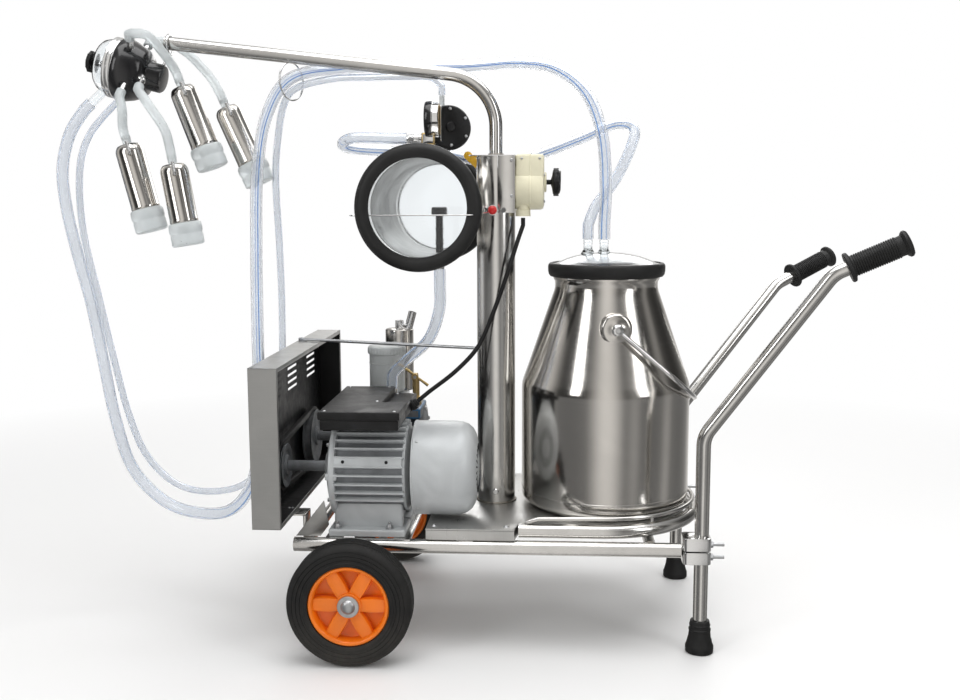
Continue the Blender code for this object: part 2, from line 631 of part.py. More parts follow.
def rotors():
    """Motor shaft with pulley, rotor core and fan; pump shaft with its pulley and core."""
    def pulley(radius, half=0.009):
        return [(0.0, -half - 0.003), (radius + 0.004, -half), (radius + 0.004, -half + 0.002),
                (radius, -0.0055), (radius, 0.0055), (radius + 0.004, half - 0.002), (radius + 0.004, half)]
    base = PULLEY_X
    core = pulley(MOTOR_PULLEY_R) + [
        (SHAFT_R, 0.010), (SHAFT_R, 0.115), (0.048, 0.117), (0.048, 0.215), (SHAFT_R, 0.217),
        (SHAFT_R, 0.285), (0.060, 0.287), (0.060, 0.300), (0.0, 0.300)]
    spin = turned("motor_rotor", [(r, -h) for r, h in core], (base, MOTOR_Y, MOTOR_Z), (-1, 0, 0), 20)
    keep(spin, "zinc")
    core = pulley(PUMP_PULLEY_R) + [
        (SHAFT_R, 0.010), (SHAFT_R, 0.120), (0.036, 0.122), (0.036, 0.200), (0.0, 0.200)]
    spin = turned("pump_rotor", [(r, -h) for r, h in core], (base, PUMP_Y, MOTOR_Z), (-1, 0, 0), 20)
    keep(spin, "zinc")


def belt():
    """Flat loop of the drive belt round both pulleys, in the plane of their grooves."""
    def loop(extra):
        near_r, far_r = MOTOR_PULLEY_R + extra, PUMP_PULLEY_R + extra
        lean = math.degrees(math.asin((far_r - near_r) / (PUMP_Y - MOTOR_Y)))
        return (arc((PUMP_Y, 0.0), far_r, -90 - lean, 90 + lean, 16)
                + arc((MOTOR_Y, 0.0), near_r, 90 + lean, 270 - lean, 12))
    inner = 0.0012
    band = flat("drive_belt", [loop(inner), loop(inner + BELT_THICK)], 0.009,
                (PULLEY_X, 0.0, MOTOR_Z), (0, 1, 0), (0, 0, 1))
    keep(as_mesh(band), "rubber")


def pump():
    """Vane pump body with its feet, inlet, silencer and drip valve, and the oil jar beside them."""
    # heights run from the belt side; the hollow for the rotor opens only through the shaft hole
    profile = [(0.0, 0.140), (0.0420, 0.140), (0.0420, 0.020), (0.0105, 0.012), (0.0105, 0.0), (0.030, 0.0),
               (0.034, 0.010), (PUMP_R, 0.014), (PUMP_R, 0.150), (0.0, 0.156)]
    body = turned("pump_body", profile, (-0.300, PUMP_Y, MOTOR_Z), (1, 0, 0), 20)
    foot_low = RAIL_TOP + 0.0006 + GAP
    join(body, box("foot", (-0.285, PUMP_Y - 0.060, foot_low), (-0.150, PUMP_Y + 0.060, foot_low + 0.045)))
    join(body, rod("inlet", (-0.208, 0.078, 0.310), (-0.208, 0.078, 0.411), 0.0095, 12))
    join(body, rod("exhaust", (-0.212, 0.212, 0.300), (-0.212, 0.212, 0.400), 0.012, 12))
    join(body, rod("silencer", (-0.212, 0.212, 0.385), (-0.212, 0.212, 0.514), 0.029, 20))
    bend = fillet_path([(-0.212, 0.212, 0.510), (-0.206, 0.212, 0.553), (-0.186, 0.212, 0.545)], 0.012)
    join(body, as_mesh(tube("tail_pipe", bend, 0.0085, 3)))
    join(body, rod("drip_valve", (-0.166, 0.112, 0.340), (-0.166, 0.112, 0.436), 0.0070, 12))
    join(body, rod("drip_pivot", (-0.166, 0.110, 0.430), (-0.166, 0.0925, 0.430), 0.003, 10))
    keep(body, "blue")
    jar = [(0.0, 0.094), (0.034, 0.094), (0.038, 0.091), (0.038, 0.080), (0.0355, 0.078), (0.0355, 0.004),
           (0.032, 0.0), (0.0, 0.0)]
    keep(turned("oil_jar", jar, (-0.228, 0.142, 0.3940), (0, 0, 1), 24), "milky")
    lever = rod("drip_lever", (-0.203, 0.0975, 0.460), (-0.140, 0.0975, 0.413), 0.0028, 10)
    collar = rod("lever_collar", (-0.166, 0.0940, 0.430), (-0.166, 0.1010, 0.430), 0.0070, 12)
    join(lever, collar)
    cut(lever, rod("pivot_hole", (-0.166, 0.085, 0.430), (-0.166, 0.110, 0.430), 0.0034, 10))
    keep(lever, "brass")


def guard():
    """Sheet belt guard, open towards the motor, with louvres in its back."""
    tray = box("belt_guard", (GUARD_X0, GUARD_Y0, GUARD_Z0), (GUARD_X1, GUARD_Y1, GUARD_Z1))
    cut(tray, box("hollow", (GUARD_X0 + SHEET, GUARD_Y0 + SHEET, GUARD_Z0 + SHEET),
                  (GUARD_X1 + 0.02, GUARD_Y1 - SHEET, GUARD_Z1 - SHEET)))
    for column in range(3):
        for row in range(5):
            y = -0.15 + 0.16 * column
            z = 0.415 + 0.013 * row
            cut(tray, box("louvre", (GUARD_X0 - 0.01, y, z), (GUARD_X0 + 0.01, y + 0.075, z + 0.0055)))
    keep(tray, "brushed")
    rest = fillet_path([(-0.3965, 0.100, GUARD_Z1 + 0.0038), (-0.0345, -0.0193, GUARD_Z1 + 0.0038)], 0.01)
    keep(as_mesh(tube("stay_rod", rest, 0.0032, 2)), "steel")


# ---------------------------------------------------------------- bucket
def bucket():
    """Stainless bucket with a narrow mouth, its lid and gasket, and the swinging bail."""
    wall = 0.0022
    outer = [(NECK_R + 0.003, MOUTH_Z - 0.0005), (NECK_R + 0.003, NECK_Z + 0.004), (NECK_R, NECK_Z - 0.004),
             (NECK_R + 0.004, NECK_Z - 0.030), (0.118, 0.545), (0.141, 0.478), (0.150, 0.452),
             (BUCKET_R, SHOULDER_Z - 0.006), (BUCKET_R, BUCKET_LOW + 0.016),
             (BUCKET_R - 0.006, BUCKET_LOW + 0.002), (BUCKET_R - 0.016, BUCKET_LOW), (0.0, BUCKET_LOW)]
    inner = [(max(0.0, r - wall), z) for r, z in outer[2:-3]]
    inner[0] = (NECK_R - wall, MOUTH_Z - 0.0005)
    inner += [(BUCKET_R - 0.018, BUCKET_LOW + 0.004), (0.0, BUCKET_LOW + 0.004)]
    profile = list(reversed(inner)) + outer
    can = turned("bucket", profile, (BUCKET_X, 0, 0), (0, 0, 1), 32)
    spin = Matrix.Translation((BUCKET_X, 0, 0)) @ Matrix.Rotation(BUCKET_TURN, 4, "Z")
    for side in (-1, 1):
        ear = rod("ear", (0, side * 0.1165, EAR_Z), (0, side * 0.1230, EAR_Z), 0.024, 20)
        ear.matrix_basis = spin @ ear.matrix_basis
        join(can, ear)
        pin = rod("ear_pin", (0, side * 0.120, EAR_Z), (0, side * (EAR_Y + 0.012), EAR_Z), 0.0050, 12)
        pin.matrix_basis = spin @ pin.matrix_basis
        join(can, pin)
    keep(can, "steel")

    lid = [(0.0, 0.0390), (0.030, 0.0375), (0.060, 0.0320), (0.082, 0.0240), (0.094, 0.0190), (0.0985, 0.0185),
           (0.0985, 0.0150), (0.093, 0.0150), (0.081, 0.0200), (0.059, 0.0280), (0.030, 0.0335), (0.0, 0.0350)]
    cover = turned("bucket_lid", lid, (BUCKET_X, 0, MOUTH_Z), (0, 0, 1), 24)
    for x, y in ((0.169, 0.004), (0.198, -0.004)):
        join(cover, rod("lid_nozzle", (x, y, MOUTH_Z + 0.0345), (x, y, 0.704), 0.0085, 12))
    keep(cover, "clear")
    gasket = [(0.0750, 0.0142), (0.1005, 0.0147), (0.1005, 0.0185), (0.1045, 0.0160), (0.1045, 0.0010),
              (0.1020, -0.0050), (0.0995, -0.0050), (0.0990, 0.0003), (0.0750, 0.0003)]
    seal = turned("lid_gasket", gasket, (BUCKET_X, 0, MOUTH_Z), (0, 0, 1), 24, closed=True)
    keep(seal, "rubber")

    half = EAR_Y + 0.0065
    reach = BAIL_LONG
    curve = [(0.0, -half), (0.060, -half)]
    curve += [(reach - 0.110 + 0.110 * math.cos(a), half * math.sin(a)) for a in
              (math.radians(-90 + 180 * i / 12) for i in range(13))]
    curve += [(0.060, half), (0.0, half)]
    path = [Vector((u * math.cos(BAIL_DROP), y, EAR_Z - u * math.sin(BAIL_DROP))) for u, y in curve]
    bail = as_mesh(tube("bail", path, 0.0045, 3))
    bail.matrix_basis = spin
    for side in (-1, 1):
        eye = rod("eye", (0, side * (half - 0.0045), EAR_Z), (0, side * (half + 0.0045), EAR_Z), 0.0105, 16)
        eye.matrix_basis = spin @ eye.matrix_basis
        join(bail, eye)
    hole = rod("eye_bore", (0, -half - 0.02, EAR_Z), (0, half + 0.02, EAR_Z), 0.0056, 16)
    hole.matrix_basis = spin @ hole.matrix_basis
    cut(bail, hole)
    keep(bail, "steel")


# ---------------------------------------------------------------- claw and teat cups
def claw():
    """Milk claw: clear bowl, black distributor, shut-off knob, hanging under the end of the arm."""
    profile = [(0.0, 0.092), (0.026, 0.092), (0.026, 0.062), (0.040, 0.058), (0.0615, 0.018), (0.0625, 0.006),
               (0.0625, 0.0), (0.0, 0.0)]
    body = turned("claw_body", profile, (-0.700, CLAW_AXIS_Y, CLAW_Z), (0.97, 0, -0.24), 28)
    # a wire loop over the end of the arm carries it, on a stem welded to the body
    eye = Vector((-0.600, 0.0, 1.0606))
    loop = [eye + HANG_R * Vector((0.0, math.cos(a), math.sin(a))) for a in
            (math.radians(22.5 * i) for i in range(16))]
    join(body, as_mesh(tube("hanging_loop", loop, 0.0022, 2, cyclic=True)))
    join(body, rod("hanging_stem", (-0.622, 0.0, 1.012), (-0.5995, 0.0, eye.z - HANG_R + 0.001), 0.0026, 10))
    for at, direction in NIPPLES:
        direction = Vector(direction).normalized()
        join(body, rod("milk_nipple", Vector(at) - 0.022 * direction, at, 0.0058, 10))
    join(body, rod("pulse_nipple", (-0.690, 0.050, 1.012), (-0.690, 0.078, 1.012), 0.0050, 10))
    keep(body, "black")
    bowl = [(0.0060, 0.0004), (0.0485, 0.0004), (0.0505, 0.006), (0.0485, 0.022), (0.040, 0.032), (0.0060, 0.036)]
    cup = turned("claw_bowl", bowl, (-0.700, CLAW_AXIS_Y, CLAW_Z), (-0.97, 0, 0.24), 28, closed=True)
    join(cup, rod("outlet", (-0.716, 0.0, 0.990), (-0.752, 0.0, 0.958), 0.0085, 12))
    keep(cup, "clear")
    axis = Vector((-0.97, 0, 0.24)).normalized()
    start = Vector((-0.700, 0.0, CLAW_Z))
    knob = [(0.0, 0.054), (0.018, 0.054), (0.0195, 0.051), (0.0195, 0.047), (0.017, 0.0455), (0.0052, 0.0450),
            (0.0052, 0.0050), (0.0, 0.0050)]
    keep(turned("claw_knob", knob, start, axis, 20), "black")


def teat_cup(name, top, mouth, number):
    """Steel shell, and the rubber liner that runs through it and on up to the claw."""
    along = (mouth - top).normalized()
    length = (mouth - top).length
    shell = [(0.0085, 0.0), (0.019, 0.0), (CUP_R - 0.002, 0.005), (CUP_R, 0.012), (CUP_R, length),
             (CUP_R - 0.0014, length), (CUP_R - 0.0014, 0.013), (0.0085, 0.006)]
    ob = turned("cup_shell_" + name, [(r, -h) for r, h in shell], top, -along, 16, closed=True)
    keep(ob, "steel")
    liner = [(0.0, -0.016), (0.0070, -0.016), (0.0070, 0.010), (0.0140, 0.016), (0.0140, length - 0.002),
             (CUP_R - 0.002, length + 0.0004), (0.0285, length + 0.0010), (0.0300, length + 0.010),
             (0.0275, length + 0.034), (0.0290, length + 0.040), (0.0110, length + 0.042),
             (0.0105, length - 0.020), (0.0105, length - 0.060), (0.0, length - 0.062)]
    ob = turned("liner_" + name, [(r, -h) for r, h in liner], top, -along, 14)
    # short milk tube from the liner up to the claw's nipple
    at, direction = NIPPLES[number]
    direction = Vector(direction).normalized()
    start = top - along * 0.010
    route = [start, start - along * 0.022, *TUBE_ROUTES[number], Vector(at) + 0.014 * direction]
    path = smooth_path(route, 0.020) + [Vector(at) + 0.0004 * direction]
    join(ob, as_mesh(tube("short_tube", path, 0.0062, 2)))
    keep(ob, "silicone")


# ---------------------------------------------------------------- hoses and cable
# each route starts and ends with a straight run on its fitting's own axis
MILK_ROUTE = [
    (-0.7523, 0.000, 0.9577), (-0.767, 0.000, 0.9447), (-0.798, 0.001, 0.900), (-0.816, 0.003, 0.835),
    (-0.812, 0.004, 0.760), (-0.795, 0.006, 0.670), (-0.775, 0.008, 0.580), (-0.757, 0.008, 0.470),
    (-0.738, 0.006, 0.360), (-0.705, 0.000, 0.262), (-0.640, -0.010, 0.200), (-0.560, -0.030, 0.184),
    (-0.490, -0.060, 0.205), (-0.442, -0.085, 0.275), (-0.428, -0.090, 0.400), (-0.430, -0.080, 0.530),
    (-0.436, -0.050, 0.680), (-0.438, -0.020, 0.830), (-0.420, -0.012, 0.930), (-0.375, -0.008, 0.997),
    (-0.290, 0.029, 1.018), (-0.180, 0.038, 1.022), (-0.060, 0.046, 1.022), (0.040, 0.034, 1.026),
    (0.110, 0.020, 1.012), (0.165, 0.006, 0.965), (0.193, -0.002, 0.890), (0.200, -0.004, 0.800),
    (0.198, -0.004, 0.730), (0.198, -0.004, 0.7044)]
PULSE_ROUTE = [
    (-0.690, 0.0784, 1.012), (-0.691, 0.094, 1.012), (-0.712, 0.110, 0.998), (-0.752, 0.098, 0.960),
    (-0.788, 0.062, 0.900), (-0.800, 0.040, 0.830), (-0.796, 0.034, 0.720), (-0.772, 0.036, 0.590),
    (-0.748, 0.036, 0.470), (-0.722, 0.034, 0.360), (-0.688, 0.030, 0.280), (-0.630, 0.026, 0.226),
    (-0.560, 0.024, 0.212), (-0.490, 0.034, 0.230), (-0.442, 0.050, 0.300), (-0.425, 0.060, 0.410),
    (-0.420, 0.062, 0.540), (-0.418, 0.050, 0.680), (-0.418, 0.034, 0.820), (-0.406, 0.020, 0.905),
    (-0.392, 0.012, 0.955), (-0.368, 0.010, 0.982), (-0.300, 0.004, 0.997), (-0.230, 0.014, 1.000),
    (-0.170, 0.044, 1.004), (-0.125, 0.064, 1.004), (-0.105, 0.066, 0.989), (-0.105, 0.066, 0.9724)]
VACUUM_ROUTE = [
    (-0.1644, 0.000, 0.888), (-0.190, 0.000, 0.888), (-0.262, 0.004, 0.890), (-0.288, 0.026, 0.880),
    (-0.270, 0.056, 0.872), (-0.200, 0.080, 0.868), (-0.120, 0.098, 0.866), (-0.040, 0.112, 0.852),
    (0.030, 0.112, 0.848), (0.090, 0.104, 0.866), (0.160, 0.092, 0.892), (0.220, 0.080, 0.916),
    (0.254, 0.066, 0.908), (0.248, 0.048, 0.872), (0.218, 0.036, 0.810), (0.184, 0.022, 0.765),
    (0.169, 0.004, 0.730), (0.169, 0.004, 0.7044)]
PUMP_ROUTE = [
    (-0.108, 0.030, 0.6470), (-0.108, 0.030, 0.622), (-0.110, 0.036, 0.570), (-0.132, 0.050, 0.512),
    (-0.176, 0.070, 0.470), (-0.203, 0.077, 0.444), (-0.208, 0.078, 0.430), (-0.208, 0.078, 0.4114)]
CABLE_ROUTE = [
    (0.050, -0.012, 0.7436), (0.050, -0.012, 0.730), (0.040, -0.030, 0.700), (0.018, -0.050, 0.630),
    (-0.006, -0.055, 0.565), (-0.030, -0.060, 0.512), (-0.070, -0.062, 0.468), (-0.1202, -0.060, 0.4283),
    (-0.1407, -0.060, 0.4113)]


def cord_path(route, spacing):
    """Smooth between the two straight ends, which stay square to their fittings."""
    return [Vector(route[0])] + smooth_path(route[1:-1], spacing) + [Vector(route[-1])]


def cords():
    keep(tube("milk_hose", cord_path(MILK_ROUTE, 0.048), 0.0110, 2), "hose")
    keep(tube("pulse_hose", cord_path(PULSE_ROUTE, 0.042), 0.0065, 2), "hose")
    keep(tube("vacuum_hose", cord_path(VACUUM_ROUTE, 0.030), 0.0100, 2), "hose")
    keep(tube("pump_hose", cord_path(PUMP_ROUTE, 0.030), 0.0110, 2), "hose")
    keep(tube("motor_cable", cord_path(CABLE_ROUTE, 0.024), 0.0040, 2), "black")


def place_machine():
    """Hang every piece on one empty, which sets the machine centred over the ground."""
    base = bpy.data.objects.new("machine_place", None)
    base.location = PLACE
    parts.objects.link(base)
    for ob in list(parts.objects) + list(cutters.objects):
        if ob is not base:
            ob.parent = base


start_scene()
frame()
deck()
bucket_guard()
wheel("near", -1)
wheel("far", 1)
for spec in (NEAR_HANDLE, FAR_HANDLE):
    handle(spec)
    clamp(spec["name"], spec["side"])
post()
arm()
switch()
valve()
tank()
gauge()
motor()
rotors()
belt()
pump()
guard()
bucket()
claw()
for number, (cup_name, cup_top, cup_mouth) in enumerate(CUPS):
    teat_cup(cup_name, cup_top, cup_mouth, number)
cords()
place_machine()
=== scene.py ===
"""Looks of the trolley milking machine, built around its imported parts. Metres, +Z up."""

import math

import bmesh
import bpy
from mathutils import Matrix, Vector


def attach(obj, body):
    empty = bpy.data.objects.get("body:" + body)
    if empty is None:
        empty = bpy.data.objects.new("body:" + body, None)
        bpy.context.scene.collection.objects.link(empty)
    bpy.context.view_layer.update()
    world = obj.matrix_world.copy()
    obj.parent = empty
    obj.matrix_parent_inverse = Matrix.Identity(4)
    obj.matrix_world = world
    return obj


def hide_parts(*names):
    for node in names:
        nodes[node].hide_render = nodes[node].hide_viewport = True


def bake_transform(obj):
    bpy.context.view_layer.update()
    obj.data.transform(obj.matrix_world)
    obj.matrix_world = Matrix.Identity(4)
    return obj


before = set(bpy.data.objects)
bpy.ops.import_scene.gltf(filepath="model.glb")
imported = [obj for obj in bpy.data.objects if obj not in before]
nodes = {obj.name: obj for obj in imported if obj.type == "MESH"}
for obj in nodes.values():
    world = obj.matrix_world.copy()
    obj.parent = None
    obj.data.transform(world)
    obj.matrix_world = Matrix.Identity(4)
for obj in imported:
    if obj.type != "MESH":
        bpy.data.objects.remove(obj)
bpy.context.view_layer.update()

# every size below is measured from the post's axis on the ground; PLACE moves it to the machine's frame
PLACE = Vector((0.0286, -0.0278, 0.0))
X, Y, Z = Vector((1, 0, 0)), Vector((0, 1, 0)), Vector((0, 0, 1))


# ---------------------------------------------------------------- shader groups
def group_tree(name, inputs, outputs):
    """An empty shader node group with named float inputs (name, default) and named outputs."""
    tree = bpy.data.node_groups.new(name, "ShaderNodeTree")
    for label, value in inputs:
        socket = tree.interface.new_socket(label, in_out="INPUT", socket_type="NodeSocketFloat")
        socket.default_value = value
    for label in outputs:
        tree.interface.new_socket(label, in_out="OUTPUT", socket_type="NodeSocketFloat")
    return tree, tree.nodes.new("NodeGroupInput"), tree.nodes.new("NodeGroupOutput")


def math_node(tree, operation, a, b=None, c=None, clamp=False):
    """A Math node; each input is a number or a socket to link."""
    node = tree.nodes.new("ShaderNodeMath")
    node.operation = operation
    node.use_clamp = clamp
    for slot, value in enumerate((a, b, c)):
        if value is None:
            continue
        if isinstance(value, (int, float)):
            node.inputs[slot].default_value = value
        else:
            tree.links.new(value, node.inputs[slot])
    return node.outputs[0]


def grain_group():
    """Drawn or brushed grain: noise stretched by its own scale along each axis."""
    tree, given, out = group_tree(
        "drawn_grain", [("Along X", 40.0), ("Along Y", 40.0), ("Along Z", 40.0)], ["Mask", "Height"])
    coords = tree.nodes.new("ShaderNodeTexCoord")
    scale = tree.nodes.new("ShaderNodeCombineXYZ")
    for i, label in enumerate(("Along X", "Along Y", "Along Z")):
        tree.links.new(given.outputs[label], scale.inputs[i])
    stretched = tree.nodes.new("ShaderNodeVectorMath")
    stretched.operation = "MULTIPLY"
    tree.links.new(coords.outputs["Object"], stretched.inputs[0])
    tree.links.new(scale.outputs[0], stretched.inputs[1])
    noise = tree.nodes.new("ShaderNodeTexNoise")
    noise.inputs["Scale"].default_value = 1.0
    noise.inputs["Detail"].default_value = 3.0
    noise.inputs["Roughness"].default_value = 0.6
    tree.links.new(stretched.outputs[0], noise.inputs["Vector"])
    mask = math_node(tree, "MULTIPLY_ADD", noise.outputs["Fac"], 2.2, -0.6, clamp=True)
    tree.links.new(mask, out.inputs["Mask"])
    tree.links.new(noise.outputs["Fac"], out.inputs["Height"])
    return tree


def smudge_group():
    """Soft patches where a surface was handled or wiped."""
    tree, given, out = group_tree("wiped_patches", [("Size", 12.0), ("Cover", 0.5)], ["Mask"])
    coords = tree.nodes.new("ShaderNodeTexCoord")
    noise = tree.nodes.new("ShaderNodeTexNoise")
    noise.inputs["Detail"].default_value = 5.0
    noise.inputs["Distortion"].default_value = 0.8
    tree.links.new(coords.outputs["Object"], noise.inputs["Vector"])
    tree.links.new(given.outputs["Size"], noise.inputs["Scale"])
    shifted = math_node(tree, "ADD", noise.outputs["Fac"], given.outputs["Cover"])
    mask = math_node(tree, "MULTIPLY_ADD", shifted, 3.0, -2.5, clamp=True)
    tree.links.new(mask, out.inputs["Mask"])
    return tree


def dust_group():
    """Dust that gathers low down, broken up by noise."""
    tree, given, out = group_tree("low_dust", [("Top", 0.25), ("Amount", 0.5)], ["Mask"])
    coords = tree.nodes.new("ShaderNodeTexCoord")
    parts = tree.nodes.new("ShaderNodeSeparateXYZ")
    tree.links.new(coords.outputs["Object"], parts.inputs[0])
    share = math_node(tree, "DIVIDE", parts.outputs["Z"], given.outputs["Top"])
    low = math_node(tree, "SUBTRACT", 1.0, share, clamp=True)
    noise = tree.nodes.new("ShaderNodeTexNoise")
    noise.inputs["Scale"].default_value = 60.0
    noise.inputs["Detail"].default_value = 6.0
    tree.links.new(coords.outputs["Object"], noise.inputs["Vector"])
    broken = math_node(tree, "MULTIPLY", low, noise.outputs["Fac"])
    tree.links.new(math_node(tree, "MULTIPLY", broken, given.outputs["Amount"], clamp=True),
                   out.inputs["Mask"])
    return tree


def stripe_group():
    """Two coloured lines that run along a hose, from its own UV map."""
    tree, given, out = group_tree("hose_lines", [("First", 0.2), ("Second", 0.7), ("Width", 0.02)], ["Mask"])
    coords = tree.nodes.new("ShaderNodeTexCoord")
    parts = tree.nodes.new("ShaderNodeSeparateXYZ")
    tree.links.new(coords.outputs["UV"], parts.inputs[0])
    found = []
    for label in ("First", "Second"):
        away = math_node(tree, "ABSOLUTE", math_node(tree, "SUBTRACT", parts.outputs["X"],
                                                     given.outputs[label]))
        found.append(math_node(tree, "LESS_THAN", away, given.outputs["Width"]))
    tree.links.new(math_node(tree, "MAXIMUM", *found), out.inputs["Mask"])
    return tree


GRAIN, SMUDGE, DUST, LINES = grain_group(), smudge_group(), dust_group(), stripe_group()


# ---------------------------------------------------------------- finishes
def place_group(tree, source, **values):
    node = tree.nodes.new("ShaderNodeGroup")
    node.node_tree = source
    for label, value in values.items():
        node.inputs[label.replace("_", " ")].default_value = value
    return node


def mix_colour(tree, factor, a, b):
    node = tree.nodes.new("ShaderNodeMix")
    node.data_type = "RGBA"
    if isinstance(factor, (int, float)):
        node.inputs["Factor"].default_value = factor
    else:
        tree.links.new(factor, node.inputs["Factor"])
    for name, value in (("A", a), ("B", b)):
        socket = [s for s in node.inputs if s.name == name and s.type == "RGBA"][0]
        if isinstance(value, tuple):
            socket.default_value = (*value, 1.0)
        else:
            tree.links.new(value, socket)
    return [s for s in node.outputs if s.type == "RGBA"][0]


def finish(name, colour, rough, metal=0.0, grain=(40, 40, 40), bump=0.02, vary=0.08, patch=None,
           worn=0.06, size=12.0, dust=0.0, dust_top=0.25, coat=0.0, clear=0.0, ior=1.45, lines=None,
           grow=0.0005):
    """A Principled finish: grain on roughness and bump, wiped patches on colour, dust low down."""
    mat = bpy.data.materials.new(name)
    mat.use_nodes = True
    tree = mat.node_tree
    shader = tree.nodes["Principled BSDF"]
    shader.inputs["Metallic"].default_value = metal
    shader.inputs["IOR"].default_value = ior
    shader.inputs["Coat Weight"].default_value = coat
    shader.inputs["Coat Roughness"].default_value = 0.08
    shader.inputs["Transmission Weight"].default_value = clear
    drawn = place_group(tree, GRAIN, Along_X=grain[0], Along_Y=grain[1], Along_Z=grain[2])
    wiped = place_group(tree, SMUDGE, Size=size, Cover=0.5)
    patch = patch or tuple(c * (1 - worn) for c in colour)
    mask = math_node(tree, "MULTIPLY", wiped.outputs["Mask"], 0.9)
    tone = mix_colour(tree, mask, colour, patch)
    rough_socket = math_node(tree, "MULTIPLY_ADD", drawn.outputs["Mask"], vary, rough - vary / 2)
    rough_socket = math_node(tree, "MULTIPLY_ADD", wiped.outputs["Mask"], vary * 0.8, rough_socket,
                             clamp=True)
    if lines:
        striped = place_group(tree, LINES, First=lines[0], Second=lines[1], Width=lines[2])
        tone = mix_colour(tree, striped.outputs["Mask"], tone, lines[3])
    if dust:
        settled = place_group(tree, DUST, Top=dust_top, Amount=dust)
        tone = mix_colour(tree, settled.outputs["Mask"], tone, (0.42, 0.38, 0.32))
        rough_socket = math_node(tree, "MULTIPLY_ADD", settled.outputs["Mask"], 0.4, rough_socket, clamp=True)
    tree.links.new(tone, shader.inputs["Base Color"])
    tree.links.new(rough_socket, shader.inputs["Roughness"])
    if bump:
        bumped = tree.nodes.new("ShaderNodeBump")
        bumped.inputs["Strength"].default_value = bump
        bumped.inputs["Distance"].default_value = grow
        tree.links.new(drawn.outputs["Height"], bumped.inputs["Height"])
        tree.links.new(bumped.outputs["Normal"], shader.inputs["Normal"])
    return mat


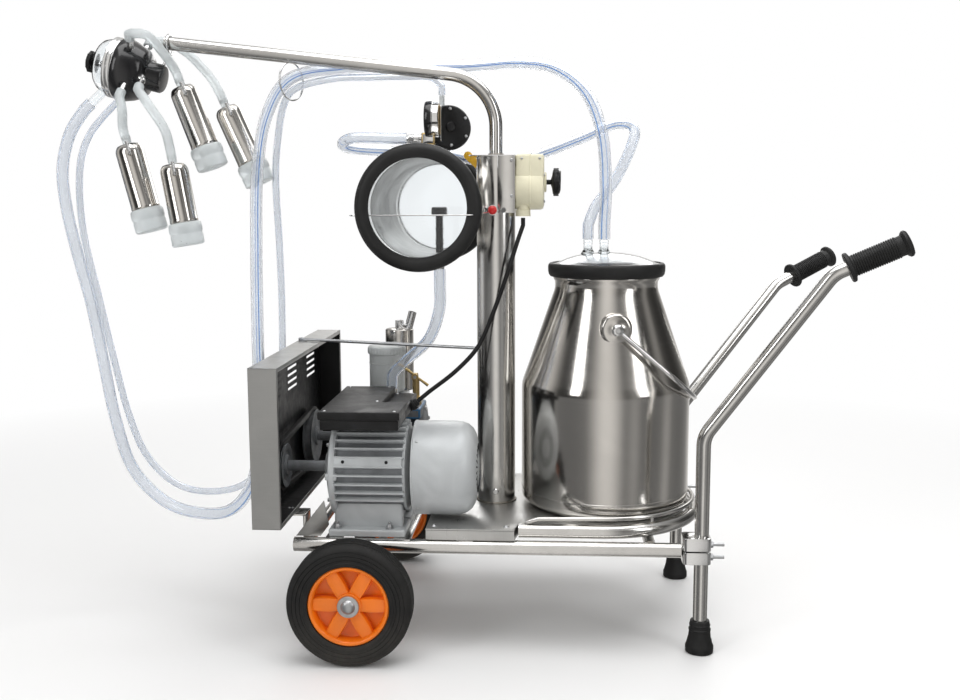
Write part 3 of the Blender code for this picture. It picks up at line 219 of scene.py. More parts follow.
F = {
    "polished_tube": finish("polished_tube", (0.66, 0.65, 0.63), 0.16, 1.0, (90, 90, 90), 0.04, 0.08,
                            worn=0.08),
    "bucket_steel": finish("bucket_steel", (0.62, 0.60, 0.57), 0.12, 1.0, (8, 8, 700), 0.10, 0.07, worn=0.10,
                           size=7.0),
    "brushed_sheet": finish("brushed_sheet", (0.46, 0.46, 0.45), 0.36, 1.0, (30, 30, 900), 0.22, 0.16,
                            worn=0.10),
    "deck_sheet": finish("deck_sheet", (0.60, 0.60, 0.59), 0.30, 1.0, (500, 20, 20), 0.15, 0.14, worn=0.12,
                         dust=0.5),
    # darker steel used only inside the drum: painted shade within the tank
    "drum_inner_shade": finish("drum_inner_shade", (0.26, 0.26, 0.25), 0.34, 0.9, (30, 400, 30), 0.15, 0.16, worn=0.15),
    "zinc_plate": finish("zinc_plate", (0.60, 0.61, 0.62), 0.34, 1.0, (160, 160, 160), 0.2, 0.16, worn=0.2,
                         size=40),
    "chrome_fitting": finish("chrome_fitting", (0.72, 0.72, 0.72), 0.10, 1.0, (120, 120, 120), 0.03, 0.06),
    "weld_bead": finish("weld_bead", (0.40, 0.37, 0.33), 0.40, 1.0, (400, 400, 400), 0.8, 0.2, worn=0.4,
                        size=60),
    "tyre_rubber": finish("tyre_rubber", (0.011, 0.011, 0.011), 0.55, 0.0, (260, 260, 260), 0.35, 0.2,
                          patch=(0.022, 0.021, 0.020), size=20, dust=0.12, dust_top=0.1, ior=1.33),
    "orange_rim": finish("orange_rim", (0.93, 0.205, 0.006), 0.34, 0.0, (220, 220, 220), 0.12, 0.12,
                         worn=0.15, coat=0.25),
    # black moulding; also used as painted shade inside the cowl's air slots and the pulley holes
    "black_mould_and_opening_shade": finish("black_mould_and_opening_shade", (0.010, 0.010, 0.010), 0.36, 0.0, (700, 700, 700), 0.25, 0.15,
                          patch=(0.018, 0.018, 0.019), size=25, ior=1.30),
    "black_gloss": finish("black_gloss", (0.010, 0.010, 0.011), 0.16, 0.0, (200, 200, 200), 0.05, 0.08,
                          size=30, coat=0.2),
    "black_rubber": finish("black_rubber", (0.010, 0.010, 0.010), 0.42, 0.0, (420, 420, 420), 0.2, 0.16,
                           patch=(0.018, 0.018, 0.018), size=18, ior=1.36),
    # black sheet that paints the shade and dark reflection inside the belt guard
    "guard_inner_shade": finish("guard_inner_shade", (0.012, 0.012, 0.013), 0.40, 0.0, (60, 60, 60), 0.1, 0.2, size=9),
    "silver_paint": finish("silver_paint", (0.56, 0.58, 0.59), 0.38, 0.20, (900, 900, 900), 0.45, 0.14,
                           patch=(0.47, 0.49, 0.50), size=16, coat=0.12),
    "cream_mould": finish("cream_mould", (0.80, 0.76, 0.57), 0.40, 0.0, (500, 500, 500), 0.15, 0.12,
                          worn=0.12, size=22),
    "amber_dip": finish("amber_dip", (0.75, 0.42, 0.01), 0.28, 0.0, (90, 90, 90), 0.1, 0.1, worn=0.2,
                        coat=0.4),
    "red_cap": finish("red_cap", (0.62, 0.012, 0.012), 0.30, 0.0, (200, 200, 200), 0.1, 0.1, worn=0.2,
                      coat=0.4),
    "brass": finish("brass", (0.70, 0.52, 0.24), 0.30, 1.0, (240, 240, 240), 0.2, 0.15,
                    patch=(0.50, 0.36, 0.16), size=50),
    "pump_paint": finish("pump_paint", (0.035, 0.16, 0.33), 0.38, 0.0, (600, 600, 600), 0.4, 0.15, worn=0.3,
                         size=24, coat=0.2),
    # grey cast metal of the pump and pulleys; also the dark sleeve painted as shade between the motor's ribs
    "cast_grey_and_rib_shade": finish("cast_grey_and_rib_shade", (0.20, 0.21, 0.22), 0.50, 0.3, (500, 500, 500), 0.6, 0.2, worn=0.25,
                        size=30),
    "milky_jar": finish("milky_jar", (0.76, 0.79, 0.79), 0.30, 0.0, (60, 60, 60), 0.08, 0.1, worn=0.06,
                        clear=0.35),
    "silicone": finish("silicone", (0.78, 0.82, 0.83), 0.30, 0.0, (120, 120, 120), 0.10, 0.14, worn=0.06,
                       size=18, clear=0.45),
    "clear_plastic": finish("clear_plastic", (0.95, 0.97, 0.98), 0.05, 0.0, (30, 30, 30), 0.02, 0.04,
                            worn=0.02, clear=1.0,
                            ior=1.42),
    "hose_clear": finish("hose_clear", (0.89, 0.91, 0.94), 0.09, 0.0, (60, 60, 60), 0.06, 0.08, worn=0.04,
                         clear=0.86,
                         ior=1.34, lines=(0.18, 0.68, 0.013, (0.12, 0.28, 0.66))),
    "dial_white": finish("dial_white", (0.85, 0.85, 0.83), 0.45, 0.0, (100, 100, 100), 0.02, 0.1),
}


# ---------------------------------------------------------------- mesh tools
class Build:
    """One piece's mesh while it is made: shapes are added with the finish that each takes."""

    def __init__(self):
        self.bm = bmesh.new()
        self.uv = self.bm.loops.layers.uv.new("along")
        self.finishes = []

    def slot(self, name):
        if name not in self.finishes:
            self.finishes.append(name)
        return self.finishes.index(name)

    def face(self, verts, index, smooth=True):
        made = self.bm.faces.new(verts)
        made.material_index = index
        made.smooth = smooth
        return made

    def grid(self, rings, index, closed_rows=False, flip=False, lengths=None):
        """Quads between rings of vertices; a ring of one vertex is a pole."""
        count = max(len(r) for r in rings)
        pairs = list(zip(range(len(rings)), range(1, len(rings))))
        if closed_rows:
            pairs.append((len(rings) - 1, 0))
        for i, j in pairs:
            a, b = rings[i], rings[j]
            for k in range(count):
                n = (k + 1) % count
                loop = [a[k % len(a)], a[n % len(a)], b[n % len(b)], b[k % len(b)]]
                corner = [(k, i), (k + 1, i), (k + 1, j), (k, j)]
                kept = [v for m, v in enumerate(loop) if v not in loop[:m]]
                corner = [c for m, c in enumerate(corner) if loop[m] not in loop[:m]]
                if len(kept) < 3:
                    continue
                if flip:
                    kept, corner = kept[::-1], corner[::-1]
                made = self.face(kept, index)
                if lengths:
                    for place, (u, v) in zip(made.loops, corner):
                        place[self.uv].uv = (u / count, lengths[v])

    def lathe(self, profile, place, direction=Z, look="polished_tube", segments=64, closed=False, spin=0.0):
        """Turn a (radius, height) profile about a line; heights run along the direction."""
        loop = list(zip(profile, profile[1:] + profile[:1]))
        if sum(r0 * z1 - r1 * z0 for (r0, z0), (r1, z1) in loop) > 0:
            profile = profile[::-1]
        turn = Vector(direction).to_track_quat("Z", "Y").to_matrix()
        place = Vector(place)
        rings = []
        for r, z in profile:
            steps = 1 if r < 1e-6 else segments
            ring = []
            for k in range(steps):
                a = spin + 2 * math.pi * k / segments
                ring.append(self.bm.verts.new(place + turn @ Vector((r * math.cos(a), r * math.sin(a), z))))
            rings.append(ring)
        self.grid(rings, self.slot(look), closed_rows=closed, flip=True)
        return self

    def sweep(self, path, radius, look="polished_tube", sides=24, bore=None, cyclic=False, flat=1.0,
              spin=0.0):
        """A round bar, or a tube with a bore, along a path; radius is one number or one for each point."""
        path = [Vector(p) for p in path]
        radii = radius if isinstance(radius, (list, tuple)) else [radius] * len(path)
        count = len(path)
        tangents = []
        for i in range(count):
            before = path[i - 1] if i or cyclic else path[0]
            after = path[(i + 1) % count] if i < count - 1 or cyclic else path[-1]
            tangents.append((after - before).normalized())
        side = tangents[0].cross(Z if abs(tangents[0].z) < 0.9 else X).normalized()
        frames, lengths = [], [0.0]
        for i, t in enumerate(tangents):
            side = (side - t * side.dot(t)).normalized()
            frames.append((side.copy(), t.cross(side)))
            if i:
                lengths.append(lengths[-1] + (path[i] - path[i - 1]).length)
        index = self.slot(look)

        def ring(i, r):
            s, u = frames[i]
            return [self.bm.verts.new(path[i] + r * (math.cos(a) * s + flat * math.sin(a) * u)) for a in
                    (spin + 2 * math.pi * k / sides for k in range(sides))]
        outer = [ring(i, radii[i]) for i in range(count)]
        self.grid(outer, index, closed_rows=cyclic, lengths=lengths)
        if bore is not None:
            inner = [ring(i, bore) for i in range(count)]
            self.grid(inner, index, closed_rows=cyclic, flip=True, lengths=lengths)
            if not cyclic:
                self.grid([inner[0], outer[0]], index)
                self.grid([outer[-1], inner[-1]], index)
        elif not cyclic:
            self.face(outer[0][::-1], index, smooth=False)
            self.face(outer[-1], index, smooth=False)
        return self

    def rod(self, a, b, radius, look="polished_tube", sides=24, bore=None, chamfer=0.0):
        a, b = Vector(a), Vector(b)
        if chamfer and bore is None:
            long = (b - a).length
            profile = [(0, long), (radius - chamfer, long), (radius, long - chamfer), (radius, chamfer),
                       (radius - chamfer, 0), (0, 0)]
            return self.lathe(profile, a, b - a, look, sides)
        return self.sweep([a, b], radius, look, sides, bore)

    def block(self, low, high, look, bevel=0.001, segments=2, turn=None, pivot=None):
        """Block between two corners with rounded edges, turned about a pivot if wanted."""
        low, high = Vector(low), Vector(high)
        made = bmesh.ops.create_cube(self.bm, size=1.0)["verts"]
        bmesh.ops.scale(self.bm, vec=high - low, verts=made)
        bmesh.ops.translate(self.bm, vec=(low + high) / 2, verts=made)
        edges = {e for v in made for e in v.link_edges}
        faces = {f for v in made for f in v.link_faces}
        if bevel:
            grown = bmesh.ops.bevel(self.bm, geom=list(edges), offset=bevel, segments=segments,
                                    affect="EDGES", profile=0.5)
            faces = {f for f in faces if f.is_valid} | set(grown["faces"])
        index = self.slot(look)
        points = {v for f in faces for v in f.verts}
        for f in faces:
            f.material_index = index
            f.smooth = True
        if turn is not None:
            bmesh.ops.rotate(self.bm, cent=Vector(pivot), matrix=turn, verts=list(points))
        return self

    def plate(self, outline, thickness, place, x_axis, y_axis, look, bevel=0.0006, holes=()):
        """Flat plate from an outline in its own plane, half its thickness to each side."""
        data = bpy.data.curves.new("outline", "CURVE")
        data.dimensions = "2D"
        data.fill_mode = "BOTH"
        data.extrude = thickness / 2 - bevel
        data.bevel_depth = bevel
        data.bevel_resolution = 1
        for loop in (outline, *holes):
            spline = data.splines.new("POLY")
            spline.points.add(len(loop) - 1)
            for point, (x, y) in zip(spline.points, loop):
                point.co = (x, y, 0.0, 1.0)
            spline.use_cyclic_u = True
        x_axis, y_axis = Vector(x_axis).normalized(), Vector(y_axis).normalized()
        turn = Matrix((x_axis, y_axis, x_axis.cross(y_axis))).transposed().to_4x4()
        self.add_object(bpy.data.objects.new("outline", data), look, Matrix.Translation(Vector(place)) @ turn)
        return self

    def add_object(self, ob, look, matrix=None):
        """Take a temporary object's evaluated mesh into this piece."""
        bpy.context.scene.collection.objects.link(ob)
        bpy.context.view_layer.update()
        mesh = bpy.data.meshes.new_from_object(ob.evaluated_get(bpy.context.evaluated_depsgraph_get()))
        if matrix is not None:
            mesh.transform(matrix)
        before = set(self.bm.faces)
        loose = bmesh.new()
        loose.from_mesh(mesh)
        bmesh.ops.remove_doubles(loose, verts=loose.verts, dist=0.00001)
        bmesh.ops.recalc_face_normals(loose, faces=loose.faces)
        loose.to_mesh(mesh)
        loose.free()
        self.bm.from_mesh(mesh)
        index = self.slot(look)
        for f in self.bm.faces:
            if f not in before:
                f.material_index = index
                f.smooth = True
        bpy.data.objects.remove(ob)
        bpy.data.meshes.remove(mesh)
        return self

    def repeat(self, item, count, radius=0.0, start=0.0, step=0.0, rise=0.0, place=(0, 0, 0), direction=Z,
               spin=0.0):
        """Copies of a small built shape round or along an axis, by the repeating node tree."""
        source = item.loose_object("item")
        bpy.context.scene.collection.objects.link(source)
        host = bpy.data.objects.new("host", bpy.data.meshes.new("host"))
        modifier = host.modifiers.new("repeat", "NODES")
        modifier.node_group = REPEATER
        given = {s.name: s.identifier for s in REPEATER.interface.items_tree if s.in_out == "INPUT"}
        for label, value in (("Item", source), ("Count", count), ("Radius", radius),
                             ("Start", math.radians(start)),
                             ("Step", math.radians(step)), ("Rise", rise), ("Finish", F[item.finishes[0]])):
            modifier[given[label]] = value
        turn = Vector(direction).to_track_quat("Z", "Y").to_matrix() @ Matrix.Rotation(spin, 3, "Z")
        self.add_object(host, item.finishes[0], Matrix.Translation(Vector(place)) @ turn.to_4x4())
        mesh = source.data
        bpy.data.objects.remove(source)
        bpy.data.meshes.remove(mesh)
        return self

    def loose_object(self, name):
        mesh = bpy.data.meshes.new(name)
        self.bm.to_mesh(mesh)
        self.bm.free()
        return bpy.data.objects.new(name, mesh)

    def done(self, name, body="chassis", slot="steel", replaces=(), sharp=38, move=True):
        """Make the piece: its place goes into its mesh, and it rides on its body."""
        if move:
            bmesh.ops.translate(self.bm, vec=PLACE, verts=self.bm.verts)
        ob = self.loose_object(name)
        ob.data.name = name
        for look in self.finishes:
            ob.data.materials.append(F[look])
        ob.data.set_sharp_from_angle(angle=math.radians(sharp))
        bpy.context.scene.collection.objects.link(ob)
        if replaces:
            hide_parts(*replaces)
        if body:
            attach(ob, body)
        return ob


def repeater_tree():
    """Instances of one item round the Z axis, or along it: angle = Start + Step * n, height = Rise * n."""
    tree = bpy.data.node_groups.new("repeat_about_axis", "GeometryNodeTree")
    for label, kind, value in (("Item", "NodeSocketObject", None), ("Count", "NodeSocketInt", 6),
                               ("Radius", "NodeSocketFloat", 0.01), ("Start", "NodeSocketFloat", 0.0),
                               ("Step", "NodeSocketFloat", 1.0), ("Rise", "NodeSocketFloat", 0.0),
                               ("Finish", "NodeSocketMaterial", None)):
        socket = tree.interface.new_socket(label, in_out="INPUT", socket_type=kind)
        if value is not None:
            socket.default_value = value
    tree.interface.new_socket("Geometry", in_out="OUTPUT", socket_type="NodeSocketGeometry")
    given, out = tree.nodes.new("NodeGroupInput"), tree.nodes.new("NodeGroupOutput")
    link = tree.links.new
    points = tree.nodes.new("GeometryNodeMeshLine")
    link(given.outputs["Count"], points.inputs["Count"])
    index = tree.nodes.new("GeometryNodeInputIndex").outputs[0]
    angle = math_node(tree, "MULTIPLY_ADD", index, given.outputs["Step"], given.outputs["Start"])
    spot = tree.nodes.new("ShaderNodeCombineXYZ")
    for i, function in enumerate(("COSINE", "SINE")):
        link(math_node(tree, "MULTIPLY", math_node(tree, function, angle), given.outputs["Radius"]),
             spot.inputs[i])
    link(math_node(tree, "MULTIPLY", index, given.outputs["Rise"]), spot.inputs[2])
    moved = tree.nodes.new("GeometryNodeSetPosition")
    link(points.outputs[0], moved.inputs["Geometry"])
    link(spot.outputs[0], moved.inputs["Position"])
    item = tree.nodes.new("GeometryNodeObjectInfo")
    link(given.outputs["Item"], item.inputs["Object"])
    turned = tree.nodes.new("ShaderNodeCombineXYZ")
    link(angle, turned.inputs[2])
    copies = tree.nodes.new("GeometryNodeInstanceOnPoints")
    link(moved.outputs[0], copies.inputs["Points"])
    link(item.outputs["Geometry"], copies.inputs["Instance"])
    link(turned.outputs[0], copies.inputs["Rotation"])
    real = tree.nodes.new("GeometryNodeRealizeInstances")
    link(copies.outputs[0], real.inputs[0])
    painted = tree.nodes.new("GeometryNodeSetMaterial")
    link(real.outputs[0], painted.inputs["Geometry"])
    link(given.outputs["Finish"], painted.inputs["Material"])
    link(painted.outputs[0], out.inputs[0])
    return tree


REPEATER = repeater_tree()


def fillet_path(points, radius, step=math.radians(6)):
    """Straight runs with an arc of the given radius at every inner point."""
    points = [Vector(p) for p in points]
    path = [points[0]]
    for before, corner, after in zip(points, points[1:], points[2:]):
        inward, outward = (before - corner).normalized(), (after - corner).normalized()
        half = inward.angle(outward) / 2
        centre = corner + (inward + outward).normalized() * radius / math.sin(half)
        start = corner + inward * radius / math.tan(half)
        swing = math.pi - 2 * half
        axis = (start - centre).cross(outward).normalized()
        count = max(3, math.ceil(swing / step))
        for i in range(count + 1):
            path.append(centre + Matrix.Rotation(swing * i / count, 3, axis) @ (start - centre))
    path.append(points[-1])
    return path


def smooth_path(route, spacing):
    """Even points along a smooth curve through the route's own points."""
    route = [Vector(p) for p in route]
    ends = [2 * route[0] - route[1]] + route + [2 * route[-1] - route[-2]]
    dense = []
    for p0, p1, p2, p3 in zip(ends, ends[1:], ends[2:], ends[3:]):
        for i in range(24):
            t = i / 24
            dense.append(0.5 * (2 * p1 + (p2 - p0) * t + (2 * p0 - 5 * p1 + 4 * p2 - p3) * t ** 2
                                + (3 * p1 - p0 - 3 * p2 + p3) * t ** 3))
    dense.append(route[-1])
    lengths = [0.0]
    for a, b in zip(dense, dense[1:]):
        lengths.append(lengths[-1] + (b - a).length)
    count = max(3, round(lengths[-1] / spacing))
    path, j = [], 0
    for i in range(count + 1):
        goal = lengths[-1] * i / count
        while j < len(dense) - 2 and lengths[j + 1] < goal:
            j += 1
        share = (goal - lengths[j]) / (lengths[j + 1] - lengths[j])
        path.append(dense[j].lerp(dense[j + 1], min(1.0, share)))
    return path


def arc(centre, radius, start, end, count):
    """Points on an arc, angles in degrees."""
    return [(centre[0] + radius * math.cos(math.radians(start + (end - start) * i / count)),
             centre[1] + radius * math.sin(math.radians(start + (end - start) * i / count)))
            for i in range(count + 1)]


def rounded(x0, y0, x1, y1, r, count=5):
    return (arc((x1 - r, y0 + r), r, -90, 0, count) + arc((x1 - r, y1 - r), r, 0, 90, count)
            + arc((x0 + r, y1 - r), r, 90, 180, count) + arc((x0 + r, y0 + r), r, 180, 270, count))


def hexagon(build, place, direction, across, high, look="zinc_plate"):
    """Hexagon head or nut with a chamfered crown."""
    r = across / math.sqrt(3)
    build.lathe([(0, high), (r * 0.82, high), (r, high * 0.75), (r, 0), (0, 0)], place, direction, look, 6)
    return build


def screw_head(build, place, direction, radius, look="zinc_plate"):
    """Low domed screw head with a cross recess standing for its drive."""
    build.lathe([(0, radius * 0.30), (radius * 0.25, radius * 0.30), (radius * 0.30, radius * 0.48),
                 (radius * 0.7, radius * 0.40), (radius, 0.0), (0, 0)], place, direction, look, 14)
    return build


# ---------------------------------------------------------------- camera, light and floor
CAMERA_PLACE = Vector((0.1059, -2.0120, 0.7750))
CAMERA_DOWN, CAMERA_ROLL, CAMERA_AROUND = 7.388, 0.19, 3.715   # degrees
CAMERA_LENS, CAMERA_SHIFT = 40.80, (-0.0027, -0.0087)
GLOSSY_FLOOR = 0.85                                            # how far polished steel sees past the floor
ROOM_STRENGTH, TOP_LIGHT = 1.0, 0.5


def studio():
    camera = bpy.data.objects.new("camera", bpy.data.cameras.new("camera"))
    camera.location = CAMERA_PLACE + PLACE
    camera.rotation_euler = (math.radians(90 - CAMERA_DOWN), math.radians(CAMERA_ROLL),
                             math.radians(CAMERA_AROUND))
    camera.data.lens = CAMERA_LENS
    camera.data.sensor_width = 36.0
    camera.data.shift_x, camera.data.shift_y = CAMERA_SHIFT
    bpy.context.scene.collection.objects.link(camera)
    bpy.context.scene.camera = camera
    bpy.context.scene.view_settings.view_transform = "Standard"

    floor_mat = bpy.data.materials.new("pale_floor")
    floor_mat.use_nodes = True
    shader = floor_mat.node_tree.nodes["Principled BSDF"]
    shader.inputs["Base Color"].default_value = (0.86, 0.86, 0.86, 1)
    shader.inputs["Roughness"].default_value = 0.6
    # the paper sweep brightens with distance until it meets the white wall without a line
    tree = floor_mat.node_tree
    spot = tree.nodes.new("ShaderNodeNewGeometry")
    far = tree.nodes.new("ShaderNodeVectorMath")
    far.operation = "LENGTH"
    tree.links.new(spot.outputs["Position"], far.inputs[0])
    fade = math_node(tree, "MULTIPLY_ADD", far.outputs["Value"], 0.55, -0.42, clamp=True)
    glow = tree.nodes.new("ShaderNodeEmission")
    sweep = tree.nodes.new("ShaderNodeMixShader")
    tree.links.new(fade, sweep.inputs[0])
    tree.links.new(shader.outputs[0], sweep.inputs[1])
    tree.links.new(glow.outputs[0], sweep.inputs[2])
    # polished steel mirrors the room's bands below the horizon too, not a bare white floor
    dim = tree.nodes.new("ShaderNodeBsdfTransparent")
    ray = tree.nodes.new("ShaderNodeLightPath")
    both = tree.nodes.new("ShaderNodeMixShader")
    tree.links.new(math_node(tree, "MULTIPLY", ray.outputs["Is Glossy Ray"], GLOSSY_FLOOR), both.inputs[0])
    tree.links.new(sweep.outputs[0], both.inputs[1])
    tree.links.new(dim.outputs[0], both.inputs[2])
    tree.links.new(both.outputs[0], tree.nodes["Material Output"].inputs["Surface"])
    bm = bmesh.new()
    bmesh.ops.create_grid(bm, x_segments=1, y_segments=1, size=14.0)
    mesh = bpy.data.meshes.new("floor")
    bm.to_mesh(mesh)
    bm.free()
    floor = bpy.data.objects.new("floor", mesh)
    floor.location.z = -0.0005
    mesh.materials.append(floor_mat)
    bpy.context.scene.collection.objects.link(floor)

    world = bpy.data.worlds.new("studio")
    world.use_nodes = True
    bpy.context.scene.world = world
    tree = world.node_tree
    tree.nodes.clear()
    out = tree.nodes.new("ShaderNodeOutputWorld")
    coords = tree.nodes.new("ShaderNodeTexCoord")
    parts = tree.nodes.new("ShaderNodeSeparateXYZ")
    tree.links.new(coords.outputs["Generated"], parts.inputs[0])
    around = math_node(tree, "ARCTAN2", parts.outputs["Y"], parts.outputs["X"])
    share = math_node(tree, "MULTIPLY_ADD", around, 1 / (2 * math.pi), 0.5)
    # soft boxes and dark gaps round the room, so that polished steel has something to mirror
    bands = tree.nodes.new("ShaderNodeValToRGB")
    bands.color_ramp.interpolation = "B_SPLINE"
    stops = ((0.00, 0.80), (0.03, 0.30), (0.06, 0.015), (0.17, 0.015), (0.205, 0.50), (0.235, 0.95),
             (0.27, 0.90),
             (0.30, 0.40), (0.325, 0.015), (0.355, 0.40), (0.385, 0.015), (0.47, 0.015), (0.50, 0.45),
             (0.53, 0.02),
             (0.64, 0.02), (0.70, 0.80), (0.78, 0.75), (0.83, 0.02), (0.93, 0.02), (0.97, 0.60), (1.00, 0.80))
    ramp = bands.color_ramp.elements
    for place, value in stops[1:-1]:
        ramp.new(place)
    for element, (place, value) in zip(ramp, stops):
        element.position = place
        element.color = (value, value * 0.975, value * 0.94, 1)
    tree.links.new(share, bands.inputs[0])
    height = math_node(tree, "MULTIPLY_ADD", parts.outputs["Z"], 2.0, -0.8, clamp=True)
    height = math_node(tree, "MULTIPLY", height, TOP_LIGHT)
    room = mix_colour(tree, height, bands.outputs[0], (1.0, 1.0, 1.0))
    lit = tree.nodes.new("ShaderNodeBackground")
    lit.inputs["Strength"].default_value = ROOM_STRENGTH
    tree.links.new(room, lit.inputs["Color"])
    plain = tree.nodes.new("ShaderNodeBackground")
    plain.inputs["Color"].default_value = (1, 1, 1, 1)
    plain.inputs["Strength"].default_value = 1.0
    ray = tree.nodes.new("ShaderNodeLightPath")
    both = tree.nodes.new("ShaderNodeMixShader")
    seen = math_node(tree, "MAXIMUM", ray.outputs["Is Camera Ray"], ray.outputs["Is Transmission Ray"])
    tree.links.new(seen, both.inputs[0])
    tree.links.new(lit.outputs[0], both.inputs[1])
    tree.links.new(plain.outputs[0], both.inputs[2])
    tree.links.new(both.outputs[0], out.inputs["Surface"])

    for name, place, aim, size, watts in (
            ("top_box", (0.2, -0.3, 3.0), (0, 0, 0.4), (3.0, 2.2), 60),
            ("front_left_box", (-2.2, -2.6, 1.9), (-0.1, 0, 0.5), (0.9, 2.2), 26),
            ("front_right_box", (2.6, -2.0, 1.7), (0.2, 0, 0.5), (0.8, 2.2), 20),
            ("back_box", (0.4, 3.0, 2.2), (0, 0, 0.4), (3.0, 1.4), 30)):
        data = bpy.data.lights.new(name, "AREA")
        data.shape = "RECTANGLE"
        data.size, data.size_y = size
        data.energy = watts
        lamp = bpy.data.objects.new(name, data)
        lamp.location = place
        lamp.rotation_euler = (Vector(aim) - Vector(place)).to_track_quat("-Z", "Y").to_euler()
        lamp.visible_camera = False
        bpy.context.scene.collection.objects.link(lamp)


studio()


# ---------------------------------------------------------------- hoses and cable
MILK_ROUTE = [
    (-0.7523, 0.000, 0.9577), (-0.767, 0.000, 0.9447), (-0.798, 0.001, 0.900), (-0.816, 0.003, 0.835),
    (-0.812, 0.004, 0.760), (-0.795, 0.006, 0.670), (-0.775, 0.008, 0.580), (-0.757, 0.008, 0.470),
    (-0.738, 0.006, 0.360), (-0.705, 0.000, 0.262), (-0.640, -0.010, 0.200), (-0.560, -0.030, 0.184),
    (-0.490, -0.060, 0.205), (-0.442, -0.085, 0.275), (-0.428, -0.090, 0.400), (-0.430, -0.080, 0.530),
    (-0.436, -0.050, 0.680), (-0.438, -0.020, 0.830), (-0.420, -0.012, 0.930), (-0.375, -0.008, 0.997),
    (-0.290, 0.029, 1.018), (-0.180, 0.038, 1.022), (-0.060, 0.046, 1.022), (0.040, 0.034, 1.026),
    (0.110, 0.020, 1.012), (0.165, 0.006, 0.965), (0.193, -0.002, 0.890), (0.200, -0.004, 0.800),
    (0.198, -0.004, 0.730), (0.198, -0.004, 0.7044)]
PULSE_ROUTE = [
    (-0.690, 0.0784, 1.012), (-0.691, 0.094, 1.012), (-0.712, 0.110, 0.998), (-0.752, 0.098, 0.960),
    (-0.788, 0.062, 0.900), (-0.800, 0.040, 0.830), (-0.796, 0.034, 0.720), (-0.772, 0.036, 0.590),
    (-0.748, 0.036, 0.470), (-0.722, 0.034, 0.360), (-0.688, 0.030, 0.280), (-0.630, 0.026, 0.226),
    (-0.560, 0.024, 0.212), (-0.490, 0.034, 0.230), (-0.442, 0.050, 0.300), (-0.425, 0.060, 0.410),
    (-0.420, 0.062, 0.540), (-0.418, 0.050, 0.680), (-0.418, 0.034, 0.820), (-0.406, 0.020, 0.905),
    (-0.392, 0.012, 0.955), (-0.368, 0.010, 0.982), (-0.300, 0.004, 0.997), (-0.230, 0.014, 1.000),
    (-0.170, 0.044, 1.004), (-0.125, 0.064, 1.004), (-0.105, 0.066, 0.989), (-0.105, 0.066, 0.9724)]
VACUUM_ROUTE = [
    (-0.1644, 0.000, 0.888), (-0.190, 0.000, 0.888), (-0.262, 0.004, 0.890), (-0.288, 0.026, 0.880),
    (-0.270, 0.056, 0.872), (-0.200, 0.080, 0.868), (-0.120, 0.098, 0.866), (-0.040, 0.112, 0.852),
    (0.030, 0.112, 0.848), (0.090, 0.104, 0.866), (0.160, 0.092, 0.892), (0.220, 0.080, 0.916),
    (0.254, 0.066, 0.908), (0.248, 0.048, 0.872), (0.218, 0.036, 0.810), (0.184, 0.022, 0.765),
    (0.169, 0.004, 0.730), (0.169, 0.004, 0.7044)]
PUMP_ROUTE = [
    (-0.108, 0.030, 0.6470), (-0.108, 0.030, 0.622), (-0.110, 0.036, 0.570), (-0.132, 0.050, 0.512),
    (-0.176, 0.070, 0.470), (-0.203, 0.077, 0.444), (-0.208, 0.078, 0.430), (-0.208, 0.078, 0.4114)]
CABLE_ROUTE = [
    (0.050, -0.012, 0.7436), (0.050, -0.012, 0.730), (0.040, -0.030, 0.700), (0.018, -0.050, 0.630),
    (-0.006, -0.055, 0.565), (-0.030, -0.060, 0.512), (-0.070, -0.062, 0.468), (-0.1202, -0.060, 0.4283),
    (-0.1407, -0.060, 0.4113)]


def cord_path(route, spacing):
    """Smooth between the two straight ends, which stay square to their fittings."""
    return [Vector(route[0])] + smooth_path(route[1:-1], spacing) + [Vector(route[-1])]


def hoses():
    for name, route, radius, bore, look, slot, lid in (
            ("milk_hose_clear", MILK_ROUTE, 0.0110, 0.0081, "hose_clear", "hose",
             ((-0.36, 0, 1.02), (0.196, 0, 1.02))),
            ("pulse_hose_clear", PULSE_ROUTE, 0.0065, 0.0047, "hose_clear", "hose", None),
            ("vacuum_hose_clear", VACUUM_ROUTE, 0.0100, 0.0073, "hose_clear", "hose",
             ((0.16, 0, 0.88), (0.24, 0, 0.73))),
            ("pump_hose_clear", PUMP_ROUTE, 0.0110, 0.0081, "hose_clear", "hose", None),
            ("motor_cable_black", CABLE_ROUTE, 0.0040, None, "black_mould_and_opening_shade", "black", None)):
        path = cord_path(route, 0.008)
        build = Build().sweep(path, radius, look, 20 if bore else 14, bore)
        ob = build.done(name, None if lid else "chassis", slot, (name.rsplit("_", 1)[0],))
        if lid:
            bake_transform(ob)


hoses()


# ---------------------------------------------------------------- frame
TUBE_R = 0.0125
RAIL_Y, RAIL_Z = 0.190, 0.179
RAIL_TOP = RAIL_Z + TUBE_R
DECK_TOP = 0.2125
SIDES = (("near", -1), ("far", 1))


def weld_bead(build, place, direction, radius, thick=0.0016):
    """Rippled ring of weld where a round bar meets another piece."""
    turn = Vector(direction).to_track_quat("Z", "Y").to_matrix()
    count = 72
    path = [Vector(place) + turn @ Vector((radius * math.cos(a), radius * math.sin(a), 0)) for a in
            (2 * math.pi * i / count for i in range(count))]
    radii = [thick * (1.0 + 0.22 * math.sin(i * math.pi * 0.5)) for i in range(count)]
    build.sweep(path, radii, "weld_bead", 8, cyclic=True)


